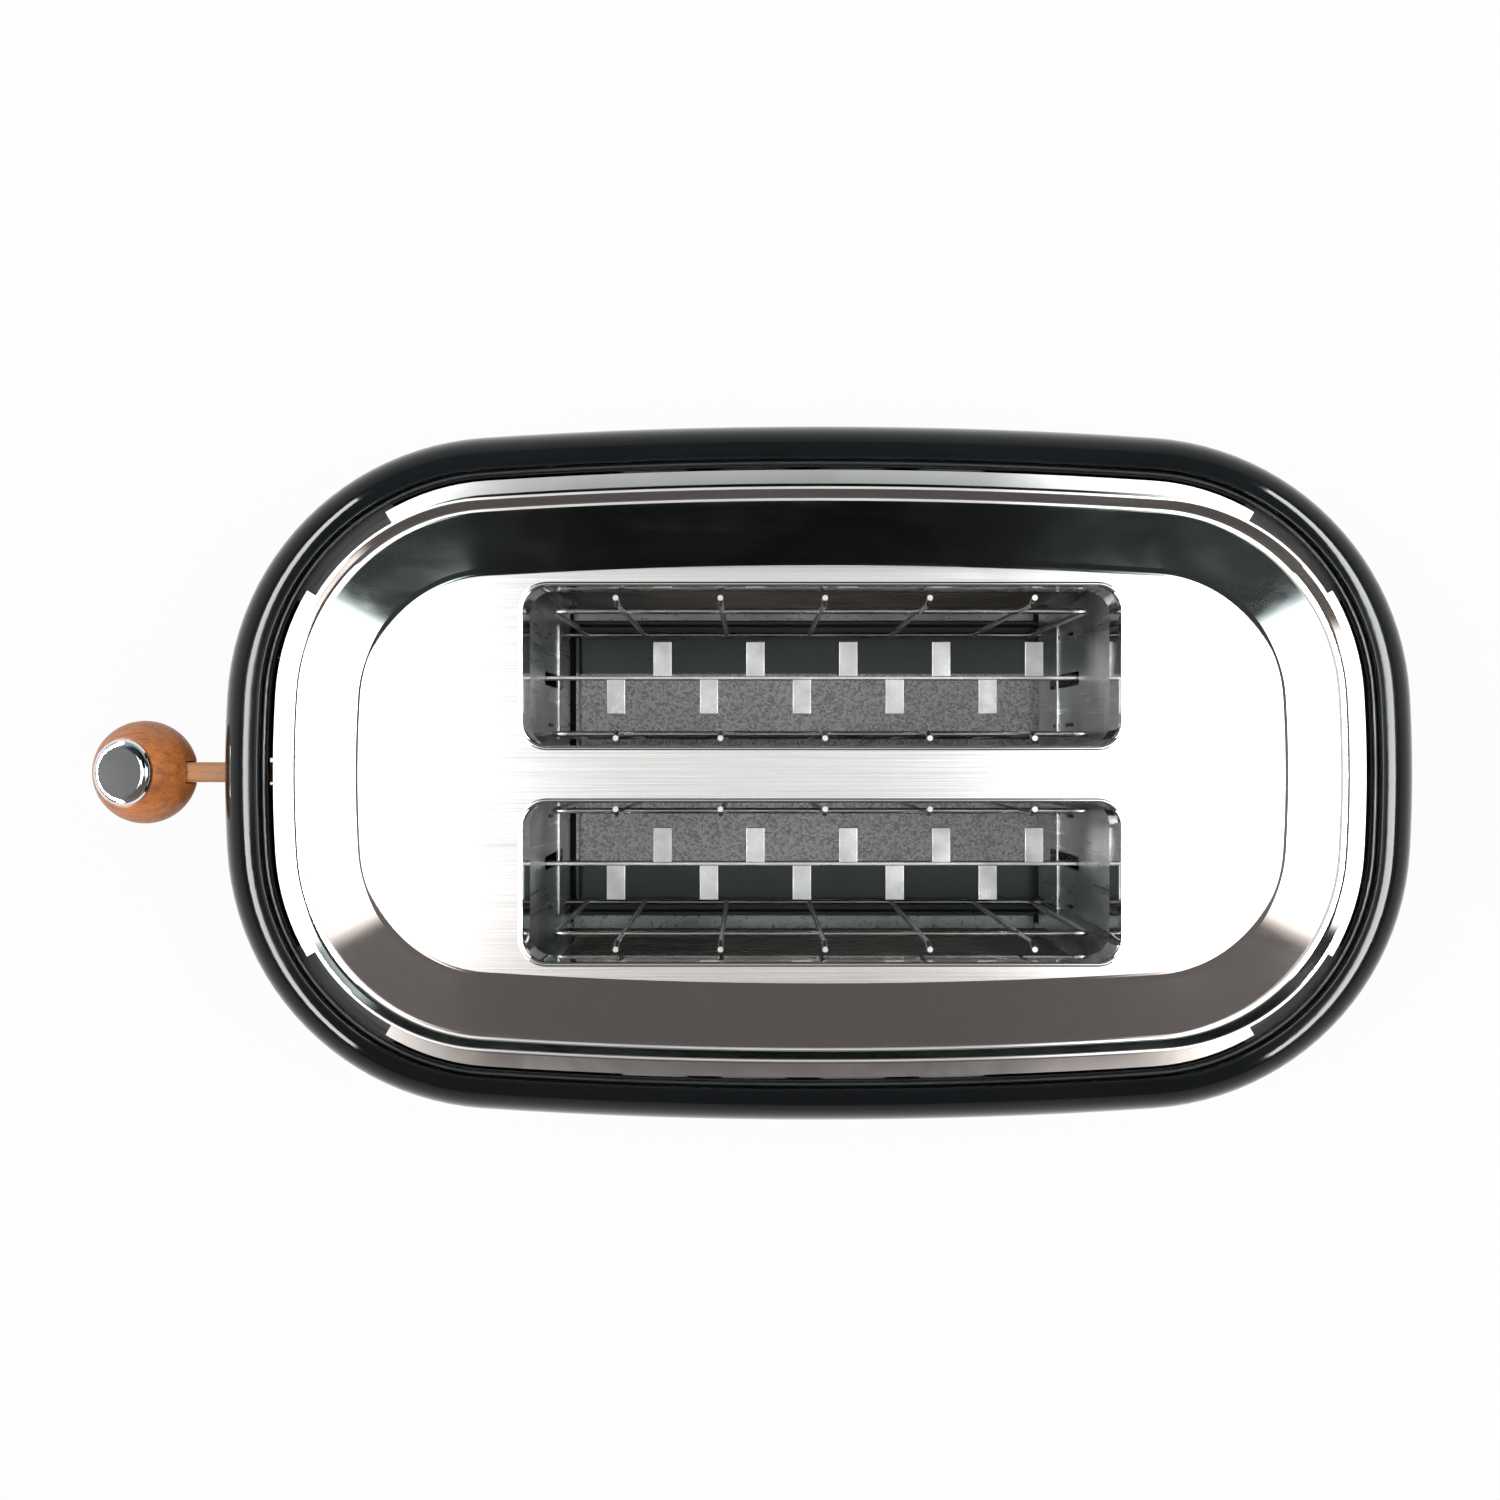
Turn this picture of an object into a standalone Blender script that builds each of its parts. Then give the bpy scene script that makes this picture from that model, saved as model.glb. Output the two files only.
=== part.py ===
"""Two-slot toaster with a ball lever, as separate jointed pieces.

Units are metres and +Z is up. The origin is on the table, at the middle of the box
round the whole toaster. Pieces are drawn about the middle of the body, and the empty
named toaster carries that middle to its place.
"""
import math
from collections import namedtuple

import bmesh
import bpy
import numpy
from mathutils import Matrix, Vector

# Clearances
FIT_GAP = 0.0003
RUNNING_GAP = 0.0004
CUT_OVERRUN = 0.004

# Heights that set the body
BODY_HEIGHT = 0.190
RIM_DROP = 0.016
WIDEST_DROP = 0.038
FOOT_HEIGHT = 0.006
BASE_HEIGHT = 0.014
GROOVE_DROP = 0.005
BAND_RISE = 0.002
STEP_RISE = 0.0006
FLANGE_DROP = 0.0025

# Bread slots, which the rest of the plan is built round
SLOT_LENGTH = 0.138
SLOT_WIDTH = 0.0366
SLOT_CORNER_RADIUS = 0.0055
RIB_WIDTH = 0.0134
SLOT_SKIRT_DEPTH = 0.0165
SLOT_BEAD_WIDTH = 0.0012
SLOT_BEAD_RISE = 0.0003
SLOT_BEAD_SHARES = ((0.8, 0.7), (0.5, 1), (0.2, 0.4))

# Rings round the slots, from the brushed plate out to the shell
PLATE_END_MARGIN = 0.0371
PLATE_SIDE_MARGIN = 0.005
STEP_RUN = 0.0014
BAND_WIDTH = 0.0136
GROOVE_RUN = 0.0026
RIDGE_TO_FLANGE_EDGE = 0.0064
FLANGE_WIDTH = 0.0026
CHANNEL_END_WIDTH = 0.00385
CHANNEL_SIDE_WIDTH = 0.0031
SHOULDER_END_RUN = 0.01085
SHOULDER_SIDE_RUN = 0.0094

# Rounding of the crown: shares of a run, and of the rise or drop along it
CROWN_WALL_SHARES = ((0.25, 0.08), (0.62, 0.84), (0.80, 0.97))
CROWN_GROOVE_SHARES = ((0.30, 0.08), (0.55, 0.35))

# Arcs of the widest outline
SIDE_RADIUS = 1.212
END_RADIUS = 0.324
CORNER_RADIUS = 0.0674

# Sheet and moulding thicknesses
SHELL_WALL = 0.0012
CROWN_SHEET = 0.0008
CHAMBER_SHEET = 0.001
BASE_WALL = 0.0024
PANEL_WALL = 0.002

# Shell and base
SHELL_FOOT_INSET = 0.007
BASE_REVEAL = 0.0012
BASE_CHAMFER = 0.0015
LIP_DEPTH = 0.0055
LIP_RUN = 0.0006

# Flange notches at the four corners
NOTCH_ANGLE = math.radians(28.4)
NOTCH_DEPTH = 0.0036

# Plastic frame under the crown
FRAME_LIP_WALL = 0.0008
FRAME_LIP_DROP = 0.0028
FRAME_WEB_THICKNESS = 0.0025
FRAME_UNDER_LIP = 0.0008
FRAME_WEB_RUN = 0.0125
FRAME_RIB_INSET = 0.001
SLIT_MARGIN = 0.0002
SLIT_BRIDGE_ANGLE = math.radians(34.0)
POST_RADIUS = 0.0045
POST_HOLE_DEPTH = 0.0155
POST_ANGLE = math.radians(56.0)

# Feet and the screws inside them
FOOT_TOP_RADIUS = 0.0095
FOOT_BOTTOM_RADIUS = 0.0085
FOOT_BORE_RADIUS = 0.0042
FOOT_BORE_DEPTH = 0.0032
SCREW_HEAD_RADIUS = 0.0036
SCREW_HEAD_HEIGHT = 0.0016
SCREW_HEAD_FACE_SHARE = 0.7
SCREW_RADIUS = 0.0017
SCREW_LENGTH = 0.0165

# Bread chamber
END_PLATE_CLEARANCE = 0.0017
END_PLATE_SHOULDER_DROP = 0.0045
END_PLATE_LEG_WIDTH = 0.008
CHAMBER_BOTTOM_GAP = 0.0115
REFLECTOR_INSET = 0.0112
REFLECTOR_TOP_DROP = 0.0045
RACK_SLOT_WIDTH = 0.0030
RACK_SLOT_SPARE = 0.0020

# Heaters
HEATER_THICKNESS = 0.0008
HEATER_TOP_DROP = 0.0275
HEATER_BOTTOM_LIFT = 0.0266
HEATER_EAR_HEIGHT = 0.010
HEATER_EAR_LENGTH = 0.0075
OUTER_HEATER_INSET = 0.0047
INNER_HEATER_SPACING = 0.0070
RIBBON_RADIUS = 0.0006
RIBBON_TURNS = 9
RIBBON_LEAD_SHARE = 0.1

# Bread guards
GUARD_WIRE_RADIUS = 0.0008
GUARD_HOOP_RADIUS = 0.00074
GUARD_BAR_RADIUS = 0.00068
GUARD_INSET = 0.0029
GUARD_END_INSET = 0.0020
GUARD_HINGE_LIFT = 0.0176
GUARD_TOP_WIRE_DEPTH = 0.0446
GUARD_TIP_DEPTH = 0.0126
GUARD_TIP_BEND = 0.0012
GUARD_TIP_HEIGHT = 0.005
GUARD_CORNER_RADIUS = 0.004
GUARD_BAR_COUNT = 5
GUARD_BAR_PITCH = 0.0248
GUARD_ROW_OFFSET = 0.0012
GUARD_PIVOT_REACH = 0.002

# Bread racks
RACK_DEPTH = 0.0856
RACK_STRIP_HEIGHT = 0.008
RACK_STRIP_THICKNESS = 0.001
RACK_REACH_PAST_PLATE = 0.003
TAB_COUNT = 10
TAB_PITCH = 0.0125
TAB_WIDTH = 0.005
TAB_LENGTH = 0.0098
TAB_THICKNESS = 0.001
TAB_DROP = 0.0002
TAB_ROW_OFFSET = 0.0044

# Carriage, lever and knob
LEVER_TRAVEL = 0.045
LEVER_RISE = 0.0355
LEVER_SLOT_SPARE = 0.0015
ARM_WIDTH = 0.005
ARM_HEIGHT = 0.010
KNOB_RADIUS = 0.0130
KNOB_STANDOFF = 0.0248
KNOB_POCKET_DEPTH = 0.0045
CAP_RADIUS = 0.0084
CAP_HEIGHT = 0.0019
CAP_SEAT = 0.0093
CAP_TILT = math.radians(19.0)
CAP_DOME_SHARES = ((0.60, 0.90), (0.92, 0.60), (1, 0.25))
BRIDGE_PLATE = 0.0012
BRIDGE_SETBACK = 0.0030
BRIDGE_SIDE_REACH = 0.007
BRIDGE_HEIGHT = 0.012
TONGUE_HALF_WIDTH = 0.009
TONGUE_THICKNESS = 0.0015
TONGUE_DROP = 0.0035
RISER_HALF_WIDTH = 0.007
RISER_INSET = 0.0003
RISER_SPARE = 0.0025
ARMATURE_SETBACK = 0.0024
BUSH_RADIUS = 0.005
BUSH_FLANGE_RADIUS = 0.0068
BUSH_FLANGE_HEIGHT = 0.0015
BUSH_HEIGHT = 0.014
ARMATURE_LENGTH = 0.009
ARMATURE_HALF_WIDTH = 0.008
ARMATURE_HEIGHT = 0.003

# Guide rod, its bracket and the lift spring
ROD_RADIUS = 0.003
ROD_BOSS_RADIUS = 0.0065
ROD_BOSS_HEIGHT = 0.008
ROD_TOP_DROP = 0.0205
BRACKET_DROP = 0.023
BRACKET_HEIGHT = 0.020
BRACKET_HALF_WIDTH = 0.009
BRACKET_REACH = 0.008
BRACKET_SHEET = 0.0012
BRACKET_SHELF_DROP = 0.0003
SPRING_COIL_RADIUS = 0.0046
SPRING_WIRE_RADIUS = 0.0006
SPRING_TURNS = 10
SPRING_END_GAP = 0.0003

# Control board and what stands on it
BOARD_SETBACK = 0.0172
BOARD_THICKNESS = 0.0016
BOARD_HALF_WIDTH = 0.032
BOARD_TOP_DROP = 0.007
BOARD_CLIP_HEIGHT = 0.006
BOARD_CLIP_THICKNESS = 0.0016
BOARD_CLIP_HALF_WIDTH = 0.010
MAGNET_HALF_WIDTH = 0.009
MAGNET_HEIGHT = 0.016
MAGNET_FRONT_INSET = 0.010
MAGNET_AIR_GAP = 0.0005
RISER_SETBACK = 0.0142
POT_RADIUS = 0.008
POT_DEPTH = 0.0057
SWITCH_SIDE = 0.006
SWITCH_DEPTH = 0.0035

# Control panel on the lever end
PANEL_HALF_WIDTH = 0.030
PANEL_CORNER_RADIUS = 0.008
PANEL_RECESS = 0.0006
PANEL_TOP_MARGIN = 0.006
PANEL_BOTTOM_MARGIN = 0.004
LEVER_SLOT_WIDTH = 0.007
LEVER_SLOT_ROUND_SHARE = 0.95
BUTTON_HEIGHT_SHARE = 0.764
BUTTON_SPACING = 0.017
BUTTON_RADIUS = 0.0045
BUTTON_FLANGE_RADIUS = 0.0056
BUTTON_FLANGE_HEIGHT = 0.0012
BUTTON_STEM_RADIUS = 0.002
BUTTON_EDGE = 0.0006
BUTTON_PROUD = 0.0026
BUTTON_TRAVEL = 0.002
DIAL_HEIGHT_SHARE = 0.338
DIAL_RADIUS = 0.015
DIAL_HEIGHT = 0.012
DIAL_EDGE = 0.0012
DIAL_ROUND = 0.0019
DIAL_ROUND_SHARES = ((1, 0), (0.25, 0.3), (0, 1))
DIAL_CLEARANCE = 0.0008
DIAL_BORE_DEPTH = 0.007
DIAL_CAP_RADIUS = 0.0100
DIAL_CAP_SEAT_DEPTH = 0.0008
DIAL_CAP_HEIGHT = 0.0015
DIAL_CAP_DOME_SHARES = ((0.9, 0.9), (1, 0.5))
DIAL_SHAFT_RADIUS = 0.003

# Crumb tray
TRAY_SHEET = 0.0008
TRAY_HEIGHT = 0.0072
TRAY_HALF_WIDTH = 0.045
TRAY_START_GAP = 0.0015
TRAY_END_GAP = 0.0008
TRAY_FRONT_SIDE_REACH = 0.002
TRAY_FRONT_HEIGHT = 0.0098
TRAY_GRIP_HALF_WIDTH = 0.020
TRAY_GRIP_REACH = 0.004
TRAY_GRIP_HEIGHT = 0.003

# Base vents
VENT_COUNT = 4
VENT_LENGTH = 0.020
VENT_WIDTH = 0.003
VENT_PITCH = 0.030
VENT_EDGE_INSET = 0.017

# Cord gland and terminal block at the rear end
GLAND_LIFT = 0.012
GLAND_BORE_RADIUS = 0.0035
GLAND_NECK_RADIUS = 0.0057
GLAND_FLANGE_RADIUS = 0.0085
GLAND_FACE_SHARE = 0.85
GLAND_FLANGE_HEIGHT = 0.0018
GLAND_LOCK_RADIUS = 0.0072
GLAND_LOCK_HEIGHT = 0.0012
GLAND_GRIP_LENGTH = 0.0034
TERMINAL_HALF_WIDTH = 0.012
TERMINAL_DEPTH = 0.012
TERMINAL_HEIGHT = 0.012
TERMINAL_LIFT = 0.030

# How finely round things are drawn
END_STEPS = 2
CORNER_STEPS = 7
SIDE_STEPS = 2
TAPER_STEPS = 3
SHOULDER_STEPS = 5
FILLET_STEPS = 4
NOTCH_STEPS = 5
VENT_CORNER_STEPS = 1
GUARD_CORNER_STEPS = 2
LEVER_SLOT_STEPS = 3
ROUND_STEPS = 20
SMALL_ROUND_STEPS = 14
HOLE_STEPS = 12
PIVOT_HOLE_STEPS = 10
SPRING_POINTS_PER_TURN = 8
WIRE_RESOLUTION = 1
MERGE_DISTANCE = 0.00001
SMOOTH_ANGLE = math.radians(35.0)

Oval = namedtuple("Oval", "half_length half_width side_radius end_radius corner_radius")

# Plan sizes that follow from the slots outwards
SLOT_HALF_LENGTH = SLOT_LENGTH / 2
SLOT_HALF_WIDTH = SLOT_WIDTH / 2
SLOT_Y = RIB_WIDTH / 2 + SLOT_HALF_WIDTH
CROWN_RUN = STEP_RUN + BAND_WIDTH + GROOVE_RUN + RIDGE_TO_FLANGE_EDGE
CROWN_HALF_LENGTH = SLOT_HALF_LENGTH + PLATE_END_MARGIN + CROWN_RUN
CROWN_HALF_WIDTH = SLOT_Y + SLOT_HALF_WIDTH + PLATE_SIDE_MARGIN + CROWN_RUN
BODY_HALF_LENGTH = CROWN_HALF_LENGTH + CHANNEL_END_WIDTH + SHOULDER_END_RUN
BODY_HALF_WIDTH = CROWN_HALF_WIDTH + CHANNEL_SIDE_WIDTH + SHOULDER_SIDE_RUN
KNOB_X = -(BODY_HALF_LENGTH + KNOB_STANDOFF)
BODY_SHIFT = (KNOB_RADIUS - KNOB_X - BODY_HALF_LENGTH) / 2

# Heights that follow
FLOOR_TOP = FOOT_HEIGHT + BASE_WALL
BASE_TOP = FOOT_HEIGHT + BASE_HEIGHT
SHELL_BOTTOM = BASE_TOP + FIT_GAP
WIDEST_Z = BODY_HEIGHT - WIDEST_DROP
RIM_TOP = BODY_HEIGHT - RIM_DROP
FLANGE_TOP = RIM_TOP - FLANGE_DROP
GROOVE_Z = BODY_HEIGHT - GROOVE_DROP
BAND_TOP = GROOVE_Z + BAND_RISE
PLATE_TOP = BAND_TOP + STEP_RISE
PLATE_UNDER = PLATE_TOP - CROWN_SHEET
RACK_TOP = PLATE_TOP - RACK_DEPTH
LEVER_Z = RACK_TOP + LEVER_RISE
LEVER_SLOT_FOOT = LEVER_Z - ARM_HEIGHT / 2 - LEVER_TRAVEL - LEVER_SLOT_SPARE
BUTTON_Z = SHELL_BOTTOM + (LEVER_SLOT_FOOT - SHELL_BOTTOM) * BUTTON_HEIGHT_SHARE
DIAL_Z = SHELL_BOTTOM + (LEVER_SLOT_FOOT - SHELL_BOTTOM) * DIAL_HEIGHT_SHARE
GUARD_HINGE_Z = FLOOR_TOP + GUARD_HINGE_LIFT
GLAND_Z = SHELL_BOTTOM + GLAND_LIFT

# Lengthwise places that follow
CHAMBER_HALF_LENGTH = SLOT_HALF_LENGTH + CROWN_SHEET + END_PLATE_CLEARANCE
END_PLATE_OUTER = CHAMBER_HALF_LENGTH + CHAMBER_SHEET
BOARD_FRONT_X = -(BODY_HALF_LENGTH - BOARD_SETBACK)
BOARD_BACK_X = BOARD_FRONT_X + BOARD_THICKNESS
RISER_X = BOARD_BACK_X + RISER_SETBACK
ROD_X = (RISER_X - END_PLATE_OUTER) / 2

# Crosswise places that follow
OUTER_GUARD_Y = SLOT_Y + SLOT_HALF_WIDTH - GUARD_INSET
INNER_GUARD_Y = SLOT_Y - SLOT_HALF_WIDTH + GUARD_INSET
OUTER_HEATER_Y = SLOT_Y + SLOT_HALF_WIDTH + OUTER_HEATER_INSET
INNER_HEATER_Y = INNER_HEATER_SPACING / 2
REFLECTOR_Y = SLOT_Y + SLOT_HALF_WIDTH + REFLECTOR_INSET

# Plan outlines
SHELL_OVAL = Oval(BODY_HALF_LENGTH, BODY_HALF_WIDTH, SIDE_RADIUS, END_RADIUS, CORNER_RADIUS)

# Matrices that stand a flat outline up: across Y and Z, or across X and Z
FACING_X = Matrix(((0, 0, 1, 0), (1, 0, 0, 0), (0, 1, 0, 0), (0, 0, 0, 1)))
FACING_Y = Matrix(((1, 0, 0, 0), (0, 0, -1, 0), (0, 1, 0, 0), (0, 0, 0, 1)))
TOWARDS_LEVER = (0, -math.pi / 2, 0)
TOWARDS_REAR = (0, math.pi / 2, 0)


def inset(oval, distance):
    """The parallel oval that lies a distance inside this one."""
    return Oval(*(size - distance for size in oval))


def oval_within(oval, half_length, half_width):
    """An oval of its own length and width, with arcs that run near the outer one's."""
    step = (oval.half_length - half_length + oval.half_width - half_width) / 2
    return Oval(half_length, half_width, oval.side_radius - step,
                oval.end_radius - step, oval.corner_radius - step)


def between(first, second, share):
    """The oval part of the way from one oval to another."""
    return Oval(*(a + (b - a) * share for a, b in zip(first, second)))


def corner_centre(oval):
    """Centre of the corner arc, which touches the side arc and the end arc."""
    side = Vector((0, oval.half_width - oval.side_radius))
    end = Vector((oval.half_length - oval.end_radius, 0))
    apart = end - side
    side_reach = oval.side_radius - oval.corner_radius
    end_reach = oval.end_radius - oval.corner_radius
    along = (side_reach ** 2 - end_reach ** 2 + apart.length_squared) / (2 * apart.length)
    across = math.sqrt(side_reach ** 2 - along ** 2)
    way = apart.normalized()
    return side + way * along + Vector((way.y, -way.x)) * across


def arc(centre, radius, first, last, steps):
    """Points along an arc, both ends included."""
    angles = [first + (last - first) * k / steps for k in range(steps + 1)]
    return [(centre[0] + radius * math.cos(a), centre[1] + radius * math.sin(a)) for a in angles]


def oval_points(oval):
    """Points anticlockwise round an oval, from the middle of its +X end."""
    corner = corner_centre(oval)
    end = (oval.half_length - oval.end_radius, 0)
    side = (0, oval.half_width - oval.side_radius)
    end_angle = math.atan2(corner.y, corner.x - end[0])
    side_angle = math.atan2(corner.y - side[1], corner.x)
    quarter = arc(end, oval.end_radius, 0, end_angle, END_STEPS)[:-1]
    quarter += arc(corner, oval.corner_radius, end_angle, side_angle, CORNER_STEPS)[:-1]
    quarter += arc(side, oval.side_radius, side_angle, math.pi / 2, SIDE_STEPS)
    left = [(-x, y) for x, y in reversed(quarter)]
    opposite = [(-x, -y) for x, y in quarter]
    right = [(x, -y) for x, y in reversed(quarter)]
    return quarter[:-1] + left[:-1] + opposite[:-1] + right[:-1]


def rounded_rectangle(half_x, half_y, radius, centre=(0, 0), steps=FILLET_STEPS):
    """Points anticlockwise round a rectangle with round corners."""
    points = []
    for turn, (sx, sy) in enumerate(((1, 1), (-1, 1), (-1, -1), (1, -1))):
        middle = (centre[0] + sx * (half_x - radius), centre[1] + sy * (half_y - radius))
        start = turn * math.pi / 2
        points += arc(middle, radius, start, start + math.pi / 2, steps)
    return points


def circle(centre, radius, steps=HOLE_STEPS):
    """Points round a circle."""
    return arc(centre, radius, 0, math.tau, steps)[:-1]


def taper(height):
    """How far the shell has drawn in at a height below its widest."""
    share = (WIDEST_Z - height) / (WIDEST_Z - SHELL_BOTTOM)
    return SHELL_FOOT_INSET * share ** 2


def end_sag(oval, half_width):
    """How far the curved end falls back at a distance from its middle."""
    corner = corner_centre(oval)
    end_x = oval.half_length - oval.end_radius
    end_reach = oval.end_radius * math.sin(math.atan2(corner.y, corner.x - end_x))
    if half_width <= end_reach:
        return oval.end_radius - math.sqrt(oval.end_radius ** 2 - half_width ** 2)
    across = half_width - corner.y
    return oval.half_length - corner.x - math.sqrt(oval.corner_radius ** 2 - across ** 2)


RIM_OVAL = oval_within(SHELL_OVAL, BODY_HALF_LENGTH - SHOULDER_END_RUN,
                       BODY_HALF_WIDTH - SHOULDER_SIDE_RUN)
CROWN_OVAL = oval_within(RIM_OVAL, CROWN_HALF_LENGTH, CROWN_HALF_WIDTH)
BASE_OVAL = inset(SHELL_OVAL, SHELL_FOOT_INSET + BASE_REVEAL)
PANEL_BOTTOM = SHELL_BOTTOM + PANEL_BOTTOM_MARGIN
PANEL_TOP = LEVER_Z + ARM_HEIGHT / 2 + LEVER_SLOT_SPARE + PANEL_TOP_MARGIN


def panel_x(height):
    """Where the outer face of the control panel's middle lies at a height."""
    return -(BODY_HALF_LENGTH - taper(height) - PANEL_RECESS)


# Scene, collections and materials
for old in list(bpy.data.objects):
    bpy.data.objects.remove(old, do_unlink=True)

PARTS = bpy.data.collections.new("toaster")
CUTTERS = bpy.data.collections.new("cutters")
bpy.context.scene.collection.children.link(PARTS)
bpy.context.scene.collection.children.link(CUTTERS)

TOASTER = bpy.data.objects.new("toaster_centre", None)
TOASTER.location = (BODY_SHIFT, 0, 0)
PARTS.objects.link(TOASTER)


def finish(name, colour, roughness, metallic=0.0):
    """A plain material of one colour."""
    material = bpy.data.materials.new(name)
    material.use_nodes = True
    shader = material.node_tree.nodes["Principled BSDF"]
    shader.inputs["Base Color"].default_value = (*colour, 1.0)
    shader.inputs["Roughness"].default_value = roughness
    shader.inputs["Metallic"].default_value = metallic
    return material


# Mesh makers
def settled(mesh):
    """Weld loose caps, point the faces outwards and shade the round ones smooth."""
    work = bmesh.new()
    work.from_mesh(mesh)
    bmesh.ops.remove_doubles(work, verts=work.verts, dist=MERGE_DISTANCE)
    bmesh.ops.recalc_face_normals(work, faces=work.faces)
    work.to_mesh(mesh)
    work.free()
    mesh.shade_smooth()
    mesh.set_sharp_from_angle(angle=SMOOTH_ANGLE)
    return mesh


def mesh_of(thing):
    """The evaluated mesh of an object or curve, which is then removed."""
    PARTS.objects.link(thing)
    bpy.context.view_layer.update()
    graph = bpy.context.evaluated_depsgraph_get()
    mesh = bpy.data.meshes.new_from_object(thing.evaluated_get(graph))
    bpy.data.objects.remove(thing, do_unlink=True)
    return settled(mesh)


def box(low, high):
    """A box between two corners."""
    work = bmesh.new()
    bmesh.ops.create_cube(work, size=1)
    low, high = Vector(low), Vector(high)
    bmesh.ops.scale(work, vec=high - low, verts=work.verts)
    bmesh.ops.translate(work, vec=(low + high) / 2, verts=work.verts)
    mesh = bpy.data.meshes.new("box")
    work.to_mesh(mesh)
    work.free()
    return mesh


def rod(start, end, radius, steps=HOLE_STEPS):
    """A round bar from one point to another."""
    start, end = Vector(start), Vector(end)
    way = end - start
    turn = way.to_track_quat('Z', 'Y').to_matrix().to_4x4()
    work = bmesh.new()
    bmesh.ops.create_cone(work, cap_ends=True, segments=steps, radius1=radius, radius2=radius,
                          depth=way.length, matrix=Matrix.Translation((start + end) / 2) @ turn)
    mesh = bpy.data.meshes.new("rod")
    work.to_mesh(mesh)
    work.free()
    return settled(mesh)


def plate(outlines, thickness, place):
    """A flat sheet with holes: the first outline is its edge and the rest are cut out."""
    curve = bpy.data.curves.new("plate", 'CURVE')
    curve.dimensions = '2D'
    curve.fill_mode = 'BOTH'
    curve.extrude = thickness / 2
    for outline in outlines:
        spline = curve.splines.new('POLY')
        spline.points.add(len(outline) - 1)
        for point, (x, y) in zip(spline.points, outline):
            point.co = (x, y, 0, 1)
        spline.use_cyclic_u = True
    mesh = mesh_of(bpy.data.objects.new("plate", curve))
    mesh.transform(place)
    return settled(mesh)


def wire(points, radius, resolution=WIRE_RESOLUTION):
    """A round wire through a list of points, with closed ends."""
    curve = bpy.data.curves.new("wire", 'CURVE')
    curve.dimensions = '3D'
    curve.bevel_depth = radius
    curve.bevel_resolution = resolution
    curve.use_fill_caps = True
    spline = curve.splines.new('POLY')
    spline.points.add(len(points) - 1)
    for point, place in zip(spline.points, points):
        point.co = (*place, 1)
    return mesh_of(bpy.data.objects.new("wire", curve))


def loft(sections, loop=False, close_first=False, close_last=False):
    """A skin through outlines stacked as (points, height) pairs, outer side first."""
    work = bmesh.new()
    rings = [[work.verts.new((x, y, height)) for x, y in points] for points, height in sections]
    pairs = list(zip(rings, rings[1:]))
    if loop:
        pairs.append((rings[-1], rings[0]))
    for lower, upper in pairs:
        for k in range(len(lower)):
            n = (k + 1) % len(lower)
            work.faces.new((lower[k], lower[n], upper[n], upper[k]))
    if close_first:
        work.faces.new(reversed(rings[0]))
    if close_last:
        work.faces.new(rings[-1])
    mesh = bpy.data.meshes.new("loft")
    work.to_mesh(mesh)
    work.free()
    mesh.shade_smooth()
    mesh.set_sharp_from_angle(angle=SMOOTH_ANGLE)
    return mesh


def ovals(pairs):
    """Outlines for a loft, from (oval, height) pairs."""
    return [(oval_points(oval), height) for oval, height in pairs]


# Object makers
def piece(name, mesh, material, parent=TOASTER):
    """A named piece of the toaster, drawn in its parent's frame."""
    thing = bpy.data.objects.new(name, mesh)
    thing.parent = parent
    mesh.materials.append(material)
    PARTS.objects.link(thing)
    return thing


def copy_of(first, name, location):
    """Another object with the same mesh, elsewhere."""
    thing = bpy.data.objects.new(name, first.data)
    thing.location = location
    thing.parent = TOASTER
    PARTS.objects.link(thing)
    return thing


def tool(mesh):
    """A shape that only cuts or joins, and isn't a piece."""
    thing = bpy.data.objects.new("tool", mesh)
    thing.parent = TOASTER
    thing.hide_render = True
    thing.display_type = 'WIRE'
    CUTTERS.objects.link(thing)
    return thing


def change(thing, mesh, operation):
    """Cut, join or keep a piece with another shape."""
    step = thing.modifiers.new(operation.lower(), 'BOOLEAN')
    step.operation = operation
    step.solver = 'EXACT'
    step.object = tool(mesh)
    return step.object


def cut(thing, *meshes):
    for mesh in meshes:
        change(thing, mesh, 'DIFFERENCE')


def join(thing, *meshes):
    for mesh in meshes:
        change(thing, mesh, 'UNION')


def keep(thing, mesh):
    change(thing, mesh, 'INTERSECT')


def thicken(thing, thickness):
    """Give an open skin its wall, on its inner side."""
    wall = thing.modifiers.new("wall", 'SOLIDIFY')
    wall.thickness = thickness
    wall.offset = -1
    wall.use_even_offset = True


def joined(first, *others):
    """One mesh from several that overlap."""
    base = bpy.data.objects.new("joined", first)
    tools = []
    for mesh in others:
        other = bpy.data.objects.new("tool", mesh)
        CUTTERS.objects.link(other)
        step = base.modifiers.new("join", 'BOOLEAN')
        step.operation = 'UNION'
        step.solver = 'EXACT'
        step.object = other
        tools.append(other)
    mesh = mesh_of(base)
    for other in tools:
        bpy.data.objects.remove(other, do_unlink=True)
    return mesh


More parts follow.
